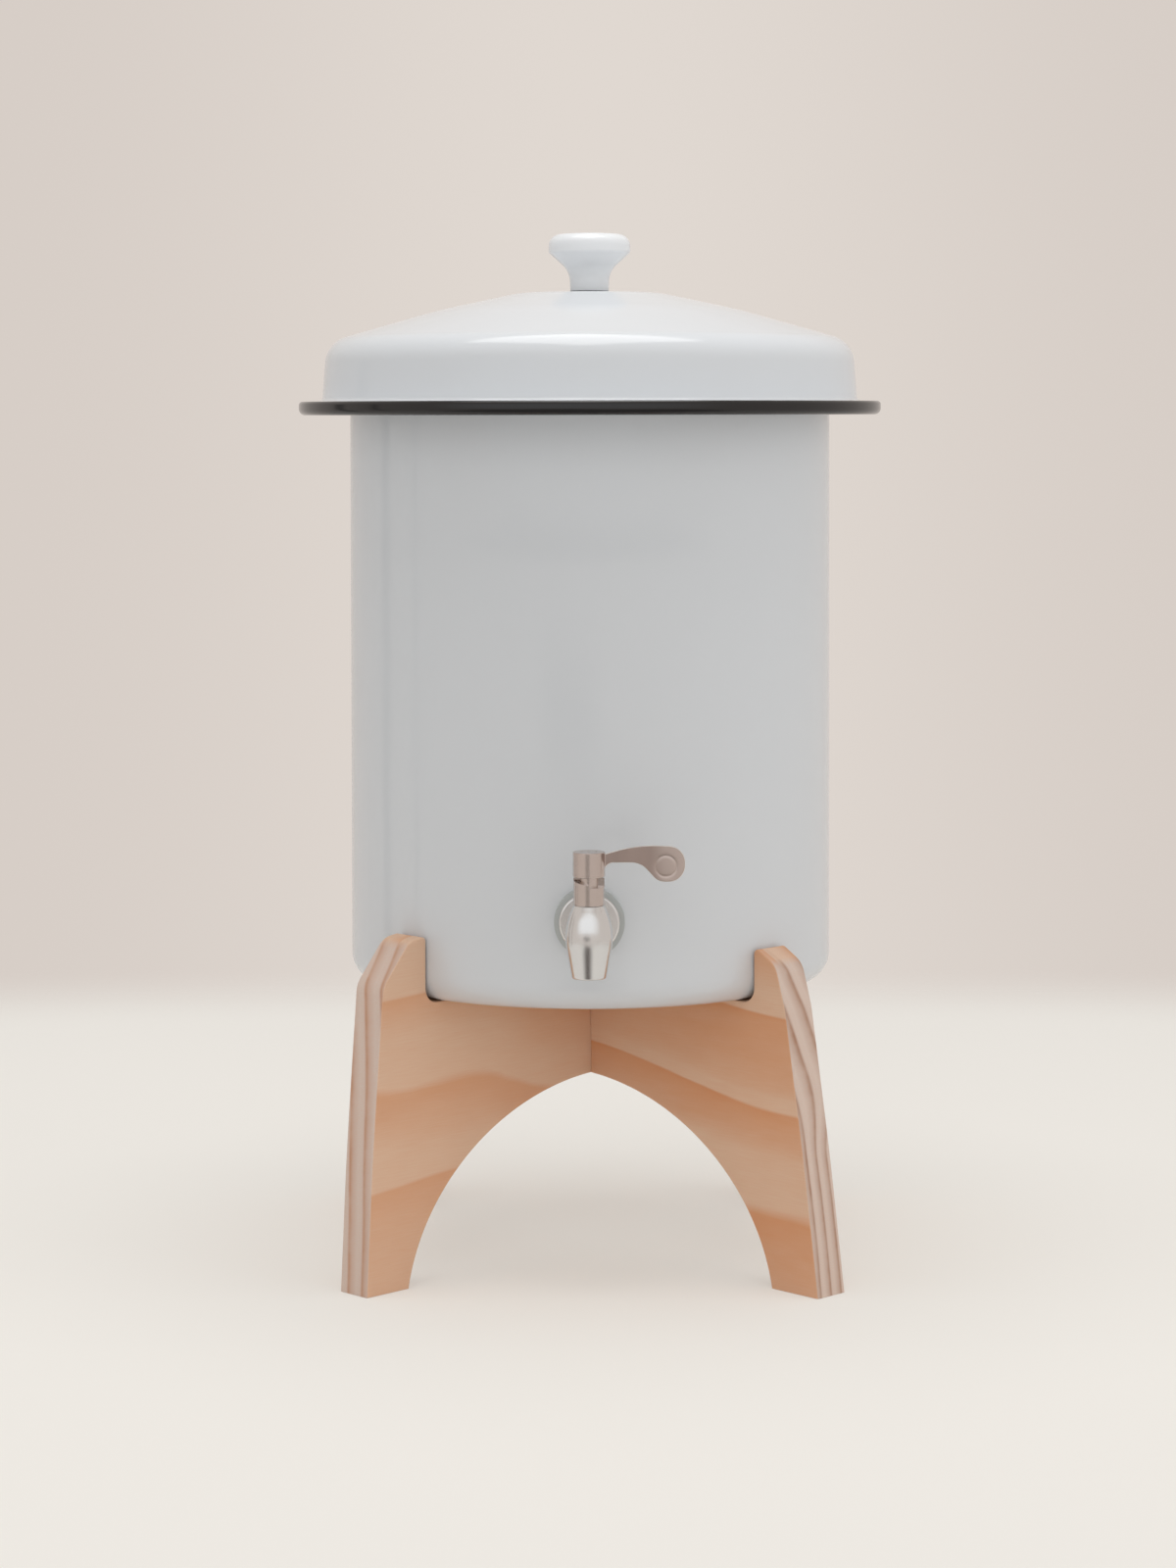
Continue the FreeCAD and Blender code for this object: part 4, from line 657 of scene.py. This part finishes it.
def makeWorld():
    # the wall's colours for what the camera and the gloss see, a soft light for the rest
    world = bpy.data.worlds.new("studio")
    scene.world = world
    world.use_nodes = True
    tree = Tree(world.node_tree)
    path = tree.put("ShaderNodeLightPath").outputs
    way = tree.parts(tree.put("ShaderNodeTexCoord").outputs["Generated"])
    aside = tree.spread(tree.math("ABSOLUTE", way[0]), (0.0, worldLook["edge"]), soft=True)
    seen = tree.math("MAXIMUM", path["Is Camera Ray"], path["Is Glossy Ray"])
    seen = tree.math("MAXIMUM", seen, path["Is Transmission Ray"])
    wallColour = tree.between(aside, stageLook["wall"], stageLook["wallEdge"])
    wall = tree.put("ShaderNodeBackground", {"Color": wallColour, "Strength": 1.0})
    level = tree.math("ADD", worldLook["even"], tree.math("MULTIPLY", way[0], worldLook["right"]))
    level = tree.math("SUBTRACT", level, tree.math("MULTIPLY", way[1], worldLook["front"]))
    even = tree.put("ShaderNodeBackground", {"Color": worldLook["tint"] + (1.0,), "Strength": level})
    mixed = tree.put("ShaderNodeMixShader", {0: seen, 1: even.outputs[0], 2: wall.outputs[0]})
    tree.put("ShaderNodeOutputWorld", {"Surface": mixed.outputs[0]})


# square lamps, all aimed at one point; the gloss sees only the top one
lampAim = (0, 0, 0.35)
lamps = [
    {"name": "topLamp", "place": (-0.05, -0.05, 2.35), "size": 1.5, "watts": 20.0, "glossy": True},
    {"name": "rightLamp", "place": (2.1, -0.9, 1.0), "size": 2.0, "watts": 8.0, "glossy": False},
    {"name": "leftLamp", "place": (-2.1, -0.9, 1.0), "size": 2.0, "watts": 7.0, "glossy": False},
    {"name": "frontLamp", "place": (-0.4, -2.4, 2.2), "size": 1.4, "watts": 4.0, "glossy": False},
]


def makeLamps():
    for plan in lamps:
        light = bpy.data.lights.new(plan["name"], "AREA")
        light.energy = plan["watts"]
        light.shape = "SQUARE"
        light.size = plan["size"]
        lamp = bpy.data.objects.new(plan["name"], light)
        scene.collection.objects.link(lamp)
        lamp.location = plan["place"]
        aim = Vector(lampAim) - Vector(plan["place"])
        lamp.rotation_euler = aim.to_track_quat("-Z", "Y").to_euler()
        lamp.visible_glossy = plan["glossy"]


# sheets that only the gloss sees: middle, half sides along two directions, colour, how far in from
# their edges they fade, and their near end's width as a share of the far end's
cards = [
    {"name": "cameraCloth", "middle": (-0.23, -1.4, 0.125), "half": ((0.46, 0, 0), (0, 0, 0.068)),
     "colour": srgb(20, 17, 16), "fade": (0.65, 0.45), "taper": 1.0},
    {"name": "floorCloth", "middle": (-0.06, -0.66, 0.003), "half": ((0.40, 0, 0), (-0.05, -0.31, 0)),
     "colour": srgb(104, 97, 93), "fade": (0.95, 0.35), "taper": 0.42},
    {"name": "sideCloth", "middle": (-1.50, 0.52, 0.20), "half": ((0.052, 0.120, 0), (0, 0, 0.60)),
     "colour": srgb(138, 134, 131), "fade": (0.6, 0.2), "taper": 1.0},
    {"name": "sideStrip", "middle": (-1.60, -0.08, 0.20), "half": ((0, 0.055, 0), (0, 0, 0.60)),
     "colour": srgb(120, 116, 113), "fade": (0.6, 0.2), "taper": 1.0},
    {"name": "shoulderCloth", "middle": (0.0, -0.28, 0.43), "half": ((0.24, 0, 0), (0, 0.10, 0)),
     "colour": srgb(150, 145, 141), "fade": (0.3, 0.3), "taper": 1.0},
    {"name": "frontSheet", "middle": (-0.30, -1.30, 0.64), "half": ((2.40, 0, 0), (0, 0.20, 0.38)),
     "colour": (1.0, 1.0, 1.0), "fade": (0.85, 0.30), "taper": 1.0},
]


def makeCards():
    # squares two units wide, set in place by their matrix; the camera, shadows and soft light pass them by
    for plan in cards:
        material = bpy.data.materials.new(plan["name"])
        material.use_nodes = True
        tree = Tree(material.node_tree)
        parts = tree.parts(tree.place())
        width = tree.spread(parts[1], (-1.0, 1.0), (plan["taper"], 1.0))
        places = tree.math("DIVIDE", tree.math("ABSOLUTE", parts[0]), width), tree.math("ABSOLUTE", parts[1])
        fades = [tree.spread(place, (1.0, 1.0 - fade), soft=True) for place, fade in zip(places, plan["fade"])]
        glow = tree.put("ShaderNodeEmission", {"Color": plan["colour"] + (1.0,), "Strength": 1.0})
        clear = tree.put("ShaderNodeBsdfTransparent")
        share = tree.math("MULTIPLY", *fades)
        mixed = tree.put("ShaderNodeMixShader", {0: share, 1: clear.outputs[0], 2: glow.outputs[0]})
        tree.put("ShaderNodeOutputMaterial", {"Surface": mixed.outputs[0]})
        card = newSheet(plan["name"], squareCorners(1), material)
        side, up = (Vector(part) for part in plan["half"])
        card.matrix_world = Matrix((side, up, side.cross(up).normalized())).transposed().to_4x4()
        card.location = plan["middle"]
        card.visible_camera = card.visible_diffuse = card.visible_transmission = False
        card.visible_shadow = card.visible_volume_scatter = False


cameraLook = {
    "lens": 82.234,
    "sensor": 36.0,
    "place": (0.0107, -2.2486, 0.5227),
    "shiftUp": -0.16,
    # degrees: down from level, about the view, and to the left
    "pitch": 1.9212,
    "roll": 0.10,
    "yaw": 0.3007,
}


def makeCamera():
    data = bpy.data.cameras.new("camera")
    data.lens = cameraLook["lens"]
    data.sensor_width = cameraLook["sensor"]
    data.shift_y = cameraLook["shiftUp"]
    camera = bpy.data.objects.new("camera", data)
    scene.collection.objects.link(camera)
    camera.location = cameraLook["place"]
    turn = (90 - cameraLook["pitch"], cameraLook["roll"], cameraLook["yaw"])
    camera.rotation_euler = Euler([math.radians(angle) for angle in turn])
    scene.camera = camera


makeFloor()
makeWorld()
makeLamps()
makeCards()
makeCamera()
scene.view_settings.view_transform = "Standard"
print("stage, lamps, world and camera ready")
